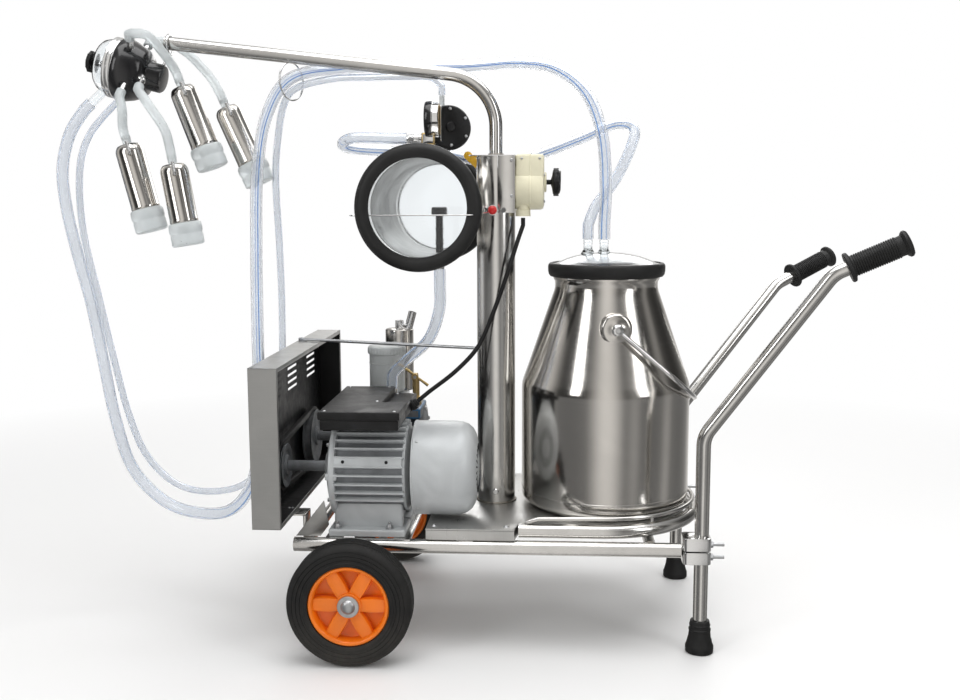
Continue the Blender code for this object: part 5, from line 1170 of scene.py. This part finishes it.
# ---------------------------------------------------------------- motor, pump and drive
def motor_pieces():
    y, z = -0.110, 0.300
    build = Build()
    body = [(0.0110, 0.0), (0.0260, 0.0), (0.0290, 0.0020), (0.0340, 0.0090), (0.0600, 0.0100),
            (0.0690, 0.0125),
            (0.0765, 0.0150), (0.0852, 0.0175), (0.0858, 0.0190), (0.0858, 0.0262), (0.0850, 0.0275),
            (0.0768, 0.0282),
            (0.0768, 0.1465), (0.0760, 0.1500), (0.0560, 0.1600), (0.0560, 0.0200), (0.0110, 0.0100)]
    build.lathe(body, (-0.300, y, z), X, "silver_paint", 96, closed=True)
    fin = Build().block((0.0750, -0.0017, 0.0260), (0.0862, 0.0017, 0.1480), "silver_paint", 0.0014)
    # dark grey sleeve under the fins: painted shade in the grooves between the ribs
    build.lathe([(0.0764, 0.0290), (0.0774, 0.0290), (0.0774, 0.1455), (0.0764, 0.1455)], (-0.300, y, z), X,
                "cast_grey_and_rib_shade", 96, closed=True)
    build.repeat(fin, 24, start=-42, step=11, place=(-0.300, y, z), direction=X)
    bolt = Build().lathe([(0, 0.0040), (0.0030, 0.0040), (0.0036, 0.0030), (0.0036, 0.0), (0, 0)],
                         (0.0700, 0, 0.0), Z,
                         "zinc_plate", 12)
    build.repeat(bolt, 4, start=45, step=90, place=(-0.2868, y, z), direction=(-1, 0, 0))
    # lifting lugs of the end shield
    for turn in (-38, 38):
        build.block((-0.288, y - 0.006, z + 0.068), (-0.268, y + 0.006, z + 0.0845), "silver_paint", 0.002, 2,
                    Matrix.Rotation(math.radians(turn + 52), 3, "X"), (-0.278, y, z))
    low = RAIL_TOP + 0.0009
    for side in (-1, 1):
        build.block((-0.285, y + side * 0.040 - 0.038, low), (-0.150, y + side * 0.040 + 0.038, low + 0.0130),
                    "silver_paint", 0.003, 3)
        build.block((-0.278, y + side * 0.047 - 0.009, low + 0.010),
                    (-0.157, y + side * 0.047 + 0.009, z - 0.052),
                    "silver_paint", 0.004, 3)
        for x in (-0.270, -0.178):
            spot = (x, y + side * 0.0665, low + 0.0130)
            build.lathe([(0.0034, 0.0012), (0.0078, 0.0012), (0.0078, 0), (0.0034, 0)], spot, Z,
                        "zinc_plate", 24,
                        closed=True)
            hexagon(build, (spot[0], spot[1], spot[2] + 0.0012), Z, 0.0100, 0.0055)
            build.rod(spot, (spot[0], spot[1], spot[2] + 0.0115), 0.0030, "zinc_plate", 14, chamfer=0.0006)
    build.block((-0.272, y - 0.042, low + 0.012), (-0.163, y + 0.042, z - 0.066), "silver_paint", 0.003)
    # smooth band above the ribs on the near side
    turn = Matrix.Rotation(math.radians(71.5), 3, "X")
    build.block((-0.276, y - 0.0105, z + 0.0740), (-0.154, y + 0.0105, z + 0.0846), "silver_paint", 0.0016,
                2, turn,
                (0, y, z))
    for x in (-0.257, -0.181):
        spot = Vector((0, y, z)) + turn @ Vector((x, 0, 0.0846))
        screw_head(build, spot, turn @ Z, 0.0030, "black_mould_and_opening_shade")
    build.done("motor_housing", slot="grey_paint", replaces=("motor_body",))

    build = Build()
    cowl = [(0, 0.1140), (0.0300, 0.1136), (0.0480, 0.1122), (0.0620, 0.1090), (0.0720, 0.1035),
            (0.0790, 0.0950),
            (0.0825, 0.0850), (0.0840, 0.0720), (0.0840, 0.0040), (0.0848, 0.0030), (0.0848, 0.0006),
            (0.0820, 0.0006),
            (0.0820, 0.0720), (0.0805, 0.0840), (0.0770, 0.0938), (0.0700, 0.1018), (0.0610, 0.1070),
            (0.0470, 0.1102), (0.0300, 0.1116), (0, 0.1120)]
    build.lathe(cowl, (-0.140, y, z), X, "silver_paint", 96)
    # air slots read as dark inlaid bars round the end of the cowl: painted shade inside the slots
    slot_shade_bar = Build().block((0.0180, -0.0016, 0.1125), (0.0440, 0.0016, 0.1137), "black_mould_and_opening_shade", 0.0005)
    build.repeat(slot_shade_bar, 24, start=0, step=15, place=(-0.140, y, z), direction=X)
    for turn in (45, 135, 225, 315):
        a = math.radians(turn)
        out = Vector((0, math.cos(a), math.sin(a)))
        screw_head(build, Vector((-0.130, y, z)) + 0.0840 * out, out, 0.0028)
    build.done("motor_fan_cowl", slot="grey_paint", replaces=("motor_cowl",))

    build = Build()
    lid = [(-0.286, -0.235), (-0.153, -0.235), (-0.153, -0.141), (-0.197, -0.141), (-0.197, 0.021),
           (-0.286, 0.021)]
    build.plate(lid, 0.0140, (0, 0, 0.4168), X, Y, "black_mould_and_opening_shade", 0.0028)
    build.plate([(a + (0.0008 if a < -0.25 else -0.0008), b) for a, b in lid], 0.0015, (0, 0, 0.4093), X, Y,
                "black_rubber", 0.0003)
    build.block((-0.1975, -0.1400, 0.3930), (-0.1530, 0.0210, 0.4115), "black_mould_and_opening_shade", 0.0022, 3)
    build.block((-0.2860, -0.2350, 0.3918), (-0.1530, -0.1390, 0.4088), "black_mould_and_opening_shade", 0.0022, 3)
    build.block((-0.2860, -0.1390, 0.3930), (-0.1970, 0.0210, 0.4088), "black_mould_and_opening_shade", 0.0022, 3)
    for x, yy in ((-0.279, -0.228), (-0.160, -0.228), (-0.279, 0.014), (-0.204, 0.014), (-0.204, -0.134)):
        screw_head(build, (x, yy, 0.4238), Z, 0.0030)
    for x, yy in ((-0.189, 0.013), (-0.160, 0.013)):
        screw_head(build, (x, yy, 0.4115), Z, 0.0030)
    entry, out = Vector((-0.160, -0.060, 0.3952)), Vector((0.0190, 0, 0.0158)).normalized()
    build.lathe([(0, 0.0246), (0.0062, 0.0246), (0.0070, 0.0230), (0.0076, 0.0190), (0.0076, 0.0), (0, 0)],
                entry, out,
                "black_mould_and_opening_shade", 32)
    build.lathe([(0, 0.0180), (0.0098, 0.0180), (0.0104, 0.0168), (0.0104, 0.0100), (0.0098, 0.0090),
                 (0, 0.0090)],
                entry, out, "black_mould_and_opening_shade", 12)
    build.done("terminal_cover", slot="black", replaces=("terminal_box",))


def pulley_profile(radius):
    return [(0, -0.0120), (0.0130, -0.0120), (0.0150, -0.0092), (radius - 0.010, -0.0060),
            (radius - 0.004, -0.0090),
            (radius + 0.0036, -0.0090), (radius + 0.0040, -0.0084), (radius, -0.0055), (radius, 0.0055),
            (radius + 0.0040, 0.0084), (radius + 0.0036, 0.0090), (radius - 0.004, 0.0090),
            (radius - 0.010, 0.0060),
            (0.0190, 0.0080), (0.0180, 0.0120), (0.0095, 0.0120)]


def drive_pieces():
    for name, y, radius, rest in (
            ("motor", -0.110, 0.036, [(0.0095, 0.115), (0.048, 0.117), (0.048, 0.215), (0.0095, 0.217),
                                      (0.0095, 0.285), (0.060, 0.287), (0.060, 0.300), (0, 0.300)]),
            ("pump", 0.140, 0.050, [(0.0095, 0.120), (0.036, 0.122), (0.036, 0.200), (0, 0.200)])):
        build = Build().lathe(pulley_profile(radius) + rest, (-0.383, y, 0.300), X, "cast_grey_and_rib_shade", 72)
        # black discs on the pulley face: painted shade inside its holes
        hole = Build().lathe([(0, 0.0012), (0.0046, 0.0010), (0.0056, 0.0), (0, 0)],
                             (radius * 0.58, 0, -0.0080), Z,
                             "black_mould_and_opening_shade", 20)
        build.repeat(hole, 4, start=45, step=90, place=(-0.383, y, 0.300), direction=X)
        hexagon(build, (-0.395, y, 0.300), (-1, 0, 0), 0.013, 0.0045)
        build.done(name + "_shaft_pulley", name + "_spin", "zinc", (name + "_rotor",))

    near_r, far_r = 0.036 + 0.0012, 0.050 + 0.0012
    lean = math.degrees(math.asin((far_r - near_r) / 0.250))

    def loop(extra):
        return (arc((0.140, 0.0), far_r + extra, -90 - lean, 90 + lean, 48)
                + arc((-0.110, 0.0), near_r + extra, 90 + lean, 270 - lean, 36))
    build = Build().plate(loop(0.0078), 0.0088, (-0.383, 0, 0.300), Y, Z, "black_rubber", 0.0014,
                          holes=(loop(0.0002),))
    build.done("vee_belt", slot="rubber", replaces=("drive_belt",))


def pump_pieces():
    y, z = 0.140, 0.300
    build = Build()
    profile = [(0, 0.1560), (0.0260, 0.1555), (0.0290, 0.1500), (0.0560, 0.1495), (0.0670, 0.1480),
               (0.0700, 0.1450),
               (0.0700, 0.1330), (0.0660, 0.1320), (0.0660, 0.0360), (0.0700, 0.0350), (0.0700, 0.0160),
               (0.0680, 0.0140), (0.0340, 0.0100), (0.0300, 0.0), (0.0105, 0.0), (0.0105, 0.0120),
               (0.0420, 0.0200),
               (0.0420, 0.1400), (0, 0.1400)]
    build.lathe(profile, (-0.300, y, z), X, "cast_grey_and_rib_shade", 88)
    fin = Build().block((0.0650, -0.0016, 0.0360), (0.0695, 0.0016, 0.1320), "cast_grey_and_rib_shade", 0.0008)
    build.repeat(fin, 20, start=0, step=18, place=(-0.300, y, z), direction=X)
    bolt = Build().lathe([(0, 0.0040), (0.0034, 0.0040), (0.0042, 0.0028), (0.0042, 0), (0, 0)],
                         (0.0600, 0, 0.1480), Z,
                         "zinc_plate", 12)
    build.repeat(bolt, 6, start=30, step=60, place=(-0.300, y, z), direction=X)
    low = RAIL_TOP + 0.0009
    build.block((-0.285, y - 0.060, low), (-0.150, y + 0.060, low + 0.012), "pump_paint", 0.003, 3)
    build.block((-0.275, y - 0.045, low + 0.010), (-0.160, y + 0.045, low + 0.052), "cast_grey_and_rib_shade", 0.004, 3)
    for x in (-0.275, -0.160):
        for side in (-1, 1):
            hexagon(build, (x, y + side * 0.052, low + 0.012), Z, 0.011, 0.006)
    # blue top block that the oil jar, the drip valve and the inlet stand on
    build.block((-0.262, 0.062, 0.352), (-0.152, 0.168, 0.3725), "pump_paint", 0.004, 3)
    build.lathe([(0.0068, 0.1010), (0.0088, 0.1000), (0.0095, 0.0970), (0.0088, 0.0960), (0.0095, 0.0910),
                 (0.0088, 0.0900), (0.0095, 0.0850), (0.0088, 0.0840), (0.0088, 0.0720), (0.0130, 0.0700),
                 (0.0130, 0.0400), (0.0068, 0.0400)], (-0.208, 0.078, 0.310), Z, "chrome_fitting", 36,
                closed=True)
    build.rod((-0.212, 0.212, 0.300), (-0.212, 0.212, 0.400), 0.0120, "chrome_fitting", 36)
    build.rod((-0.212, 0.180, 0.306), (-0.212, 0.214, 0.306), 0.0140, "chrome_fitting", 36, chamfer=0.001)
    build.lathe([(0, 0.1290), (0.0100, 0.1288), (0.0270, 0.1275), (0.0286, 0.1262), (0.0290, 0.1240),
                 (0.0290, 0.0050),
                 (0.0284, 0.0020), (0.0270, 0.0005), (0, 0)], (-0.212, 0.212, 0.385), Z, "bucket_steel", 72)
    bend = fillet_path([(-0.212, 0.212, 0.508), (-0.212, 0.212, 0.548), (-0.184, 0.212, 0.5475)], 0.018,
                       math.radians(6))
    build.sweep(bend, 0.0085, "chrome_fitting", 32, bore=0.0068)
    build.lathe([(0, 0.0960), (0.0040, 0.0955), (0.0050, 0.0930), (0.0050, 0.0850), (0.0070, 0.0840),
                 (0.0070, 0.0500),
                 (0.0092, 0.0490), (0.0092, 0.0360), (0.0070, 0.0350), (0.0070, 0.0), (0, 0)],
                (-0.166, 0.112, 0.340),
                Z, "brass", 32)
    hexagon(build, (-0.166, 0.112, 0.3725), Z, 0.0185, 0.0095, "brass")
    build.rod((-0.166, 0.110, 0.430), (-0.166, 0.0925, 0.430), 0.0030, "zinc_plate", 18)
    # bracket strap from the block to the jar
    build.plate(rounded(-0.026, -0.020, 0.030, 0.020, 0.008), 0.0030, (-0.214, 0.134, 0.3915), X, Y,
                "zinc_plate")
    build.rod((-0.228, 0.142, 0.370), (-0.228, 0.142, 0.3915), 0.0060, "zinc_plate", 24)
    build.done("vacuum_pump", slot="blue", replaces=("pump_body",))

    build = Build()
    build.lathe([(0, 0.0940), (0.0300, 0.0938), (0.0345, 0.0930), (0.0372, 0.0915), (0.0380, 0.0890),
                 (0.0380, 0.0780),
                 (0.0372, 0.0772), (0.0356, 0.0768), (0.0352, 0.0740), (0.0352, 0.0060), (0.0340, 0.0025),
                 (0.0300, 0.0004), (0, 0.0004)], (-0.228, 0.142, 0.3936), Z, "milky_jar", 72)
    rib = Build().block((0.0374, -0.0010, 0.0795), (0.0386, 0.0010, 0.0890), "milky_jar", 0.0004, 1)
    build.repeat(rib, 36, start=0, step=10, place=(-0.228, 0.142, 0.3936), direction=Z)
    build.lathe([(0.0350, 0.0600), (0.0357, 0.0595), (0.0357, 0.0575), (0.0350, 0.0570)],
                (-0.228, 0.142, 0.3936), Z,
                "milky_jar", 72, closed=True)
    build.done("oil_bottle", slot="milky", replaces=("oil_jar",))

    build = Build()
    build.sweep([(-0.203, 0.0975, 0.460), (-0.1720, 0.0975, 0.4372), (-0.1600, 0.0975, 0.4278),
                 (-0.140, 0.0975, 0.413)], [0.0030, 0.0024, 0.0024, 0.0030], "brass", 18)
    build.lathe([(0.0034, 0.0070), (0.0062, 0.0070), (0.0070, 0.0060), (0.0070, 0.0010), (0.0062, 0.0),
                 (0.0034, 0.0)], (-0.166, 0.0940, 0.430), Y, "brass", 28, closed=True)
    build.done("drip_hand_lever", "drip_lever", "brass", ("drip_lever",))


def guard_pieces():
    x0, x1, y0, y1, z0, z1 = -0.4005, -0.3515, -0.257, 0.290, 0.224, 0.500
    build = Build()
    holes = [rounded(-0.15 + 0.16 * c, 0.415 + 0.013 * r, -0.075 + 0.16 * c, 0.4205 + 0.013 * r, 0.0027)
             for c in range(3) for r in range(5)]
    back = [(y0, z0), (y1, z0), (y1, z1), (y0, z1)]
    build.plate(back, 0.0010, (x0 + 0.0005, 0, 0), Y, Z, "brushed_sheet", 0.0003, holes=holes)
    # black sheet inside the back: painted shade and dark reflection inside the guard
    build.plate([(y0 + 0.001, z0 + 0.001), (y1 - 0.001, z0 + 0.001), (y1 - 0.001, z1 - 0.001),
                 (y0 + 0.001, z1 - 0.001)],
                0.0005, (x0 + 0.0013, 0, 0), Y, Z, "guard_inner_shade", 0.0001, holes=holes)
    for low, high in (((y0, z0), (y1, z0 + 0.0011)), ((y0, z1 - 0.0011), (y1, z1)),
                      ((y0, z0), (y0 + 0.0011, z1)), ((y1 - 0.0011, z0), (y1, z1))):
        build.block((x0, *low), (x1, *high), "brushed_sheet", 0.0003, 1)
    # black strips along the inner walls: more painted shade inside the guard
    for low, high in (((y0 + 0.0012, z0 + 0.0012), (y1 - 0.0012, z0 + 0.0017)),
                      ((y0 + 0.0012, z1 - 0.0017), (y1 - 0.0012, z1 - 0.0012)),
                      ((y0 + 0.0012, z0 + 0.0012), (y0 + 0.0017, z1 - 0.0012)),
                      ((y1 - 0.0017, z0 + 0.0012), (y1 - 0.0012, z1 - 0.0012))):
        build.block((x0 + 0.0014, *low), (x1 - 0.0030, *high), "guard_inner_shade", 0)
    # safe edge folded in round the opening
    rim = rounded(y0, z0, y1, z1, 0.003)
    build.plate(rim, 0.0014, (x1 - 0.0007, 0, 0), Y, Z, "brushed_sheet", 0.0005,
                holes=([(y0 + 0.007, z0 + 0.007), (y1 - 0.007, z0 + 0.007), (y1 - 0.007, z1 - 0.007),
                        (y0 + 0.007, z1 - 0.007)],))
    for column in range(3):
        # pressed hood over each slot
        y = -0.15 + 0.16 * column
        hood = Build().block((-0.0016, 0.0, 0.0045), (0.0006, 0.075, 0.0070), "brushed_sheet", 0.0008)
        build.repeat(hood, 5, rise=0.013, place=(x0 - 0.0004, y, 0.415), direction=Z)
    for y in (-0.140, 0.140):
        for x in (-0.368, -0.350 - 0.012):
            screw_head(build, (x, y + 0.012, z0 + 0.0018), Z, 0.003)
    build.done("belt_guard_tray", slot="brushed", replaces=("belt_guard",))

    build = Build()
    build.sweep([(-0.3965, 0.100, 0.5040), (-0.0345, -0.0193, 0.5040)], 0.0030, "zinc_plate", 18)
    build.lathe([(0.0032, 0.0014), (0.0085, 0.0014), (0.0085, 0), (0.0032, 0)], (-0.3890, 0.0975, 0.5003), Z,
                "zinc_plate", 24, closed=True)
    screw_head(build, (-0.3890, 0.0975, 0.5062), Z, 0.0042)
    build.done("guard_stay", slot="steel", replaces=("stay_rod",))


# ---------------------------------------------------------------- bucket
BUCKET_X, MOUTH_Z = 0.203, 0.641
BUCKET_TURN = Matrix.Rotation(math.radians(6.2), 3, "Z")


def bucket_pieces():
    centre = (BUCKET_X, 0, 0)
    build = Build()
    outer = [(0, 0.2128), (0.1370, 0.2128), (0.1400, 0.2138), (0.1440, 0.2165), (0.1500, 0.2215),
             (0.1535, 0.2262),
             (0.1550, 0.2320), (0.1550, 0.4240), (0.1548, 0.4330), (0.1540, 0.4395), (0.1525, 0.4460),
             (0.1500, 0.4530),
             (0.1462, 0.4635), (0.1410, 0.4780), (0.1180, 0.5450), (0.0990, 0.6005), (0.0955, 0.6105),
             (0.0942, 0.6170),
             (0.0940, 0.6240), (0.0948, 0.6290), (0.0966, 0.6315), (0.0974, 0.6345), (0.0972, 0.6385),
             (0.0955, 0.6405)]
    inner = [(0.0922, 0.6402), (0.0918, 0.6170), (0.0932, 0.6100), (0.1158, 0.5443), (0.1388, 0.4773),
             (0.1504, 0.4455), (0.1526, 0.4330), (0.1528, 0.4240), (0.1528, 0.2330), (0.1500, 0.2240),
             (0.1430, 0.2190),
             (0.1370, 0.2168), (0, 0.2168)]
    build.lathe(outer + inner, centre, Z, "bucket_steel", 160)
    # seam ring just above the foot
    build.lathe([(0.1549, 0.2460), (0.1553, 0.2455), (0.1553, 0.2425), (0.1549, 0.2420)], centre, Z,
                "bucket_steel", 160,
                closed=True)
    for side in (-1, 1):
        out = BUCKET_TURN @ Vector((0, side, 0))
        spot = Vector(centre) + Vector((0, 0, 0.551))
        # round boss let into the cone, its collar and the pin's riveted head
        build.lathe([(0, 0.1250), (0.0120, 0.1250), (0.0140, 0.1236), (0.0210, 0.1236), (0.0250, 0.1226),
                     (0.0278, 0.1200),
                     (0.0288, 0.1160), (0.0292, 0.1000), (0, 0.1000)], spot, out, "bucket_steel", 64)
        build.rod(spot + out * 0.121, spot + out * 0.1402, 0.0049, "chrome_fitting", 28, chamfer=0.0008)
        build.lathe([(0.0050, 0.1412), (0.0078, 0.1408), (0.0086, 0.1398), (0.0050, 0.1394)], spot, out,
                    "chrome_fitting", 28, closed=True)
    build.done("milk_bucket", replaces=("bucket",))

    def place(u, y):
        return Vector(centre) + BUCKET_TURN @ Vector((u * math.cos(drop), y, 0.551 - u * math.sin(drop)))
    drop, half, reach = math.radians(40.5), 0.1345, 0.214
    curve = [(0.0096, -half), (0.060, -half)]
    curve += [(reach - 0.110 + 0.110 * math.cos(a), half * math.sin(a)) for a in
              (math.radians(-90 + 180 * i / 60) for i in range(61))]
    curve += [(0.060, half), (0.0096, half)]
    build = Build().sweep([place(u, y) for u, y in curve], 0.0045, "chrome_fitting", 24)
    for side in (-1, 1):
        out = BUCKET_TURN @ Vector((0, side, 0))
        build.lathe([(0.0056, 0.0045), (0.0090, 0.0045), (0.0105, 0.0030), (0.0105, -0.0030),
                     (0.0090, -0.0045),
                     (0.0056, -0.0045)], place(0, side * half), out, "chrome_fitting", 36, closed=True)
    build.done("bucket_bail", "bail", "steel", ("bail",))

    mouth = (BUCKET_X, 0, MOUTH_Z)
    dome = [(0, 0.0390), (0.0150, 0.0387), (0.0300, 0.0376), (0.0450, 0.0354), (0.0600, 0.0322),
            (0.0720, 0.0284),
            (0.0830, 0.0238), (0.0900, 0.0206), (0.0940, 0.0194), (0.0985, 0.0190), (0.0985, 0.0156),
            (0.0930, 0.0156),
            (0.0890, 0.0172), (0.0815, 0.0206), (0.0710, 0.0248), (0.0590, 0.0284), (0.0440, 0.0316),
            (0.0300, 0.0336),
            (0.0150, 0.0348), (0, 0.0352)]
    build = Build().lathe(dome, mouth, Z, "clear_plastic", 128)
    for x, y in ((0.169, 0.004), (0.198, -0.004)):
        build.lathe([(0.0062, 0.7040), (0.0078, 0.7036), (0.0085, 0.7000), (0.0078, 0.6992), (0.0085, 0.6950),
                     (0.0078, 0.6942), (0.0080, 0.6860), (0.0115, 0.6800), (0.0135, 0.6765),
                     (0.0062, 0.6765)],
                    (x, y, 0), Z, "clear_plastic", 40, closed=True)
    build.done("lid_dome", "lid", "clear", ("bucket_lid",))
    ring = [(0.0760, 0.0142), (0.0985, 0.0148), (0.0998, 0.0196), (0.1015, 0.0206), (0.1040, 0.0200),
            (0.1062, 0.0176),
            (0.1072, 0.0140), (0.1070, 0.0060), (0.1058, 0.0000), (0.1030, -0.0038), (0.1000, -0.0046),
            (0.0986, -0.0036), (0.0984, 0.0003), (0.0760, 0.0003)]
    Build().lathe(ring, mouth, Z, "black_rubber", 128, closed=True).done("lid_seal_ring", "lid", "rubber",
                                                                        ("lid_gasket",))


# ---------------------------------------------------------------- claw and teat cups
CUPS = (((-0.667, -0.052, 0.878), (-0.638, -0.052, 0.762)), ((-0.581, -0.062, 0.842),
                                                             (-0.564, -0.062, 0.737)),
        ((-0.582, 0.004, 0.985), (-0.542, 0.004, 0.876)), ((-0.513, 0.050, 0.951), (-0.468, 0.050, 0.847)))
NIPPLES = (((-0.674, -0.052, 0.974), (-0.10, -0.62, -0.78)), ((-0.640, -0.054, 0.982), (0.10, -0.80, -0.60)),
           ((-0.6580, -0.0440, 1.0640), (0.185, -0.64, 0.747)),
           ((-0.6580, 0.0440, 1.0640), (0.185, 0.64, 0.747)))
TUBE_ROUTES = (((-0.669, -0.066, 0.938),), ((-0.592, -0.070, 0.905), (-0.620, -0.072, 0.950)),
               ((-0.602, -0.024, 1.040), (-0.622, -0.052, 1.070)),
               ((-0.545, 0.056, 1.010), (-0.586, 0.060, 1.052), (-0.625, 0.060, 1.074)))


def claw_pieces():
    place, way = Vector((-0.700, 0, 1.020)), Vector((0.97, 0, -0.24)).normalized()
    build = Build()
    body = [(0, 0.0900), (0.0150, 0.0900), (0.0235, 0.0885), (0.0262, 0.0850), (0.0262, 0.0640),
            (0.0275, 0.0622),
            (0.0380, 0.0595), (0.0440, 0.0540), (0.0510, 0.0400), (0.0560, 0.0240), (0.0572, 0.0190),
            (0.0572, 0.0100),
            (0.0545, 0.0060), (0, 0.0060)]
    build.lathe(body, place, way, "black_gloss", 88)
    # ridged steel ring that clamps the bowl to the distributor
    build.lathe([(0.0490, 0.0092), (0.0548, 0.0092), (0.0562, 0.0078), (0.0548, 0.0064), (0.0558, 0.0050),
                 (0.0558, 0.0002), (0.0546, -0.0012), (0.0556, -0.0026), (0.0556, -0.0066), (0.0540, -0.0080),
                 (0.0512, -0.0080), (0.0512, 0.0000), (0.0490, 0.0002)], place, way, "chrome_fitting", 96,
                closed=True)
    eye = Vector((-0.600, 0, 1.0606))
    loop = [eye + 0.0175 * Vector((0, math.cos(a),
                                   math.sin(a))) for a in (2 * math.pi * i / 48 for i in range(48))]
    build.sweep(loop, 0.0022, "chrome_fitting", 16, cyclic=True)
    build.rod((-0.622, 0, 1.012), (-0.5995, 0, eye.z - 0.0165), 0.0026, "chrome_fitting", 18)
    for at, direction in NIPPLES:
        direction = Vector(direction).normalized()
        base = Vector(at) - 0.022 * direction
        build.lathe([(0, 0.0218), (0.0046, 0.0218), (0.0058, 0.0205), (0.0058, 0.0060), (0.0078, 0.0040),
                     (0.0078, -0.004), (0, -0.004)], base, direction, "chrome_fitting", 28)
    build.rod((-0.690, 0.050, 1.012), (-0.690, 0.078, 1.012), 0.0049, "chrome_fitting", 24, chamfer=0.0006)
    build.done("claw_distributor", slot="black", replaces=("claw_body",))

    build = Build()
    bowl = [(0.0062, 0.0360), (0.0200, 0.0352), (0.0310, 0.0338), (0.0400, 0.0312), (0.0456, 0.0260),
            (0.0490, 0.0180),
            (0.0504, 0.0080), (0.0504, 0.0006), (0.0476, 0.0006), (0.0476, 0.0080), (0.0464, 0.0168),
            (0.0432, 0.0236),
            (0.0384, 0.0282), (0.0300, 0.0306), (0.0200, 0.0320), (0.0062, 0.0326)]
    build.lathe(bowl, place, -way, "clear_plastic", 96, closed=True)
    build.rod((-0.716, 0, 0.990), (-0.752, 0, 0.958), 0.0084, "clear_plastic", 36, bore=0.0066)
    build.done("claw_clear_bowl", slot="clear", replaces=("claw_bowl",))

    build = Build()
    build.lathe([(0, 0.0562), (0.0080, 0.0560), (0.0160, 0.0550), (0.0190, 0.0530), (0.0195, 0.0505),
                 (0.0190, 0.0470),
                 (0.0160, 0.0456), (0.0090, 0.0452), (0.0080, 0.0440), (0.0052, 0.0436), (0.0052, 0.0050),
                 (0, 0.0050)], place, -way, "black_mould_and_opening_shade", 48)
    grip = Build().block((0.0180, -0.0016, 0.0470), (0.0202, 0.0016, 0.0536), "black_mould_and_opening_shade", 0.0008)
    build.repeat(grip, 10, start=0, step=36, place=place, direction=-way)
    build.done("claw_shutoff_knob", "claw_knob", "black", ("claw_knob",))


def cup_pieces():
    for number, ((top, mouth), (at, direction), route) in enumerate(zip(CUPS, NIPPLES, TUBE_ROUTES), 1):
        top, mouth, at, direction = Vector(top), Vector(mouth), Vector(at), Vector(direction).normalized()
        along, long = (mouth - top).normalized(), (mouth - top).length
        shell = [(0.0086, 0.0), (0.0150, 0.0), (0.0186, 0.0010), (0.0212, 0.0034), (0.0232, 0.0068),
                 (0.0245, 0.0105),
                 (0.0250, 0.0150), (0.0250, long - 0.0060), (0.0254, long - 0.0050), (0.0254, long - 0.0012),
                 (0.0248, long), (0.0237, long), (0.0237, 0.0150), (0.0205, 0.0070), (0.0086, 0.0052)]
        build = Build().lathe(shell, top, along, "bucket_steel", 72, closed=True)
        # bent pulse nipple in the shell's shoulder
        side = along.cross(Vector((0.3, -1, 0.2))).normalized()
        out = side.cross(along).normalized()
        root = top + along * 0.020 + out * 0.0235
        bend = fillet_path([root, root + out * 0.008, root + out * 0.010 - along * 0.022], 0.005,
                           math.radians(10))
        build.sweep(bend, 0.0032, "chrome_fitting", 20)
        weld_bead(build, root + out * 0.0012, out, 0.0034, 0.0007)
        build.done(f"teat_shell_{number}", replaces=(f"cup_shell_{number}",))

        liner = [(0, -0.0160), (0.0070, -0.0160), (0.0078, -0.0120), (0.0078, -0.0030), (0.0070, -0.0012),
                 (0.0070, 0.0100), (0.0140, 0.0160), (0.0140, long - 0.002), (0.0230, long + 0.0004),
                 (0.0275, long + 0.0004), (0.0292, long + 0.0030), (0.0300, long + 0.0090),
                 (0.0297, long + 0.0160),
                 (0.0284, long + 0.0190), (0.0284, long + 0.0215), (0.0292, long + 0.0240),
                 (0.0290, long + 0.0340),
                 (0.0292, long + 0.0375), (0.0282, long + 0.0405), (0.0250, long + 0.0420),
                 (0.0125, long + 0.0420),
                 (0.0110, long + 0.0400), (0.0105, long - 0.0200), (0.0105, long - 0.0600),
                 (0, long - 0.0620)]
        build = Build().lathe(liner, top, along, "silicone", 64)
        start = top - along * 0.010
        path = smooth_path([start, start - along * 0.022, *route, at + 0.014 * direction], 0.004)
        path += [at + 0.0004 * direction]
        build.sweep(path, 0.0084, "silicone", 24)
        build.lathe([(0.0060, 0.0160), (0.0082, 0.0156), (0.0088, 0.0130), (0.0088, 0.0020), (0.0080, 0.0004),
                     (0.0060, 0.0)], at, direction, "silicone", 28, closed=True)
        build.done(f"teat_liner_{number}", slot="silicone", replaces=(f"liner_{number}",))


frame_pieces()
wheels()
handles()
post_and_arm()
tank_pieces()
gauge_pieces()
motor_pieces()
drive_pieces()
pump_pieces()
guard_pieces()
bucket_pieces()
claw_pieces()
cup_pieces()

for node in nodes.values():
    node.data.materials.clear()
    node.data.materials.append(F["zinc_plate"])
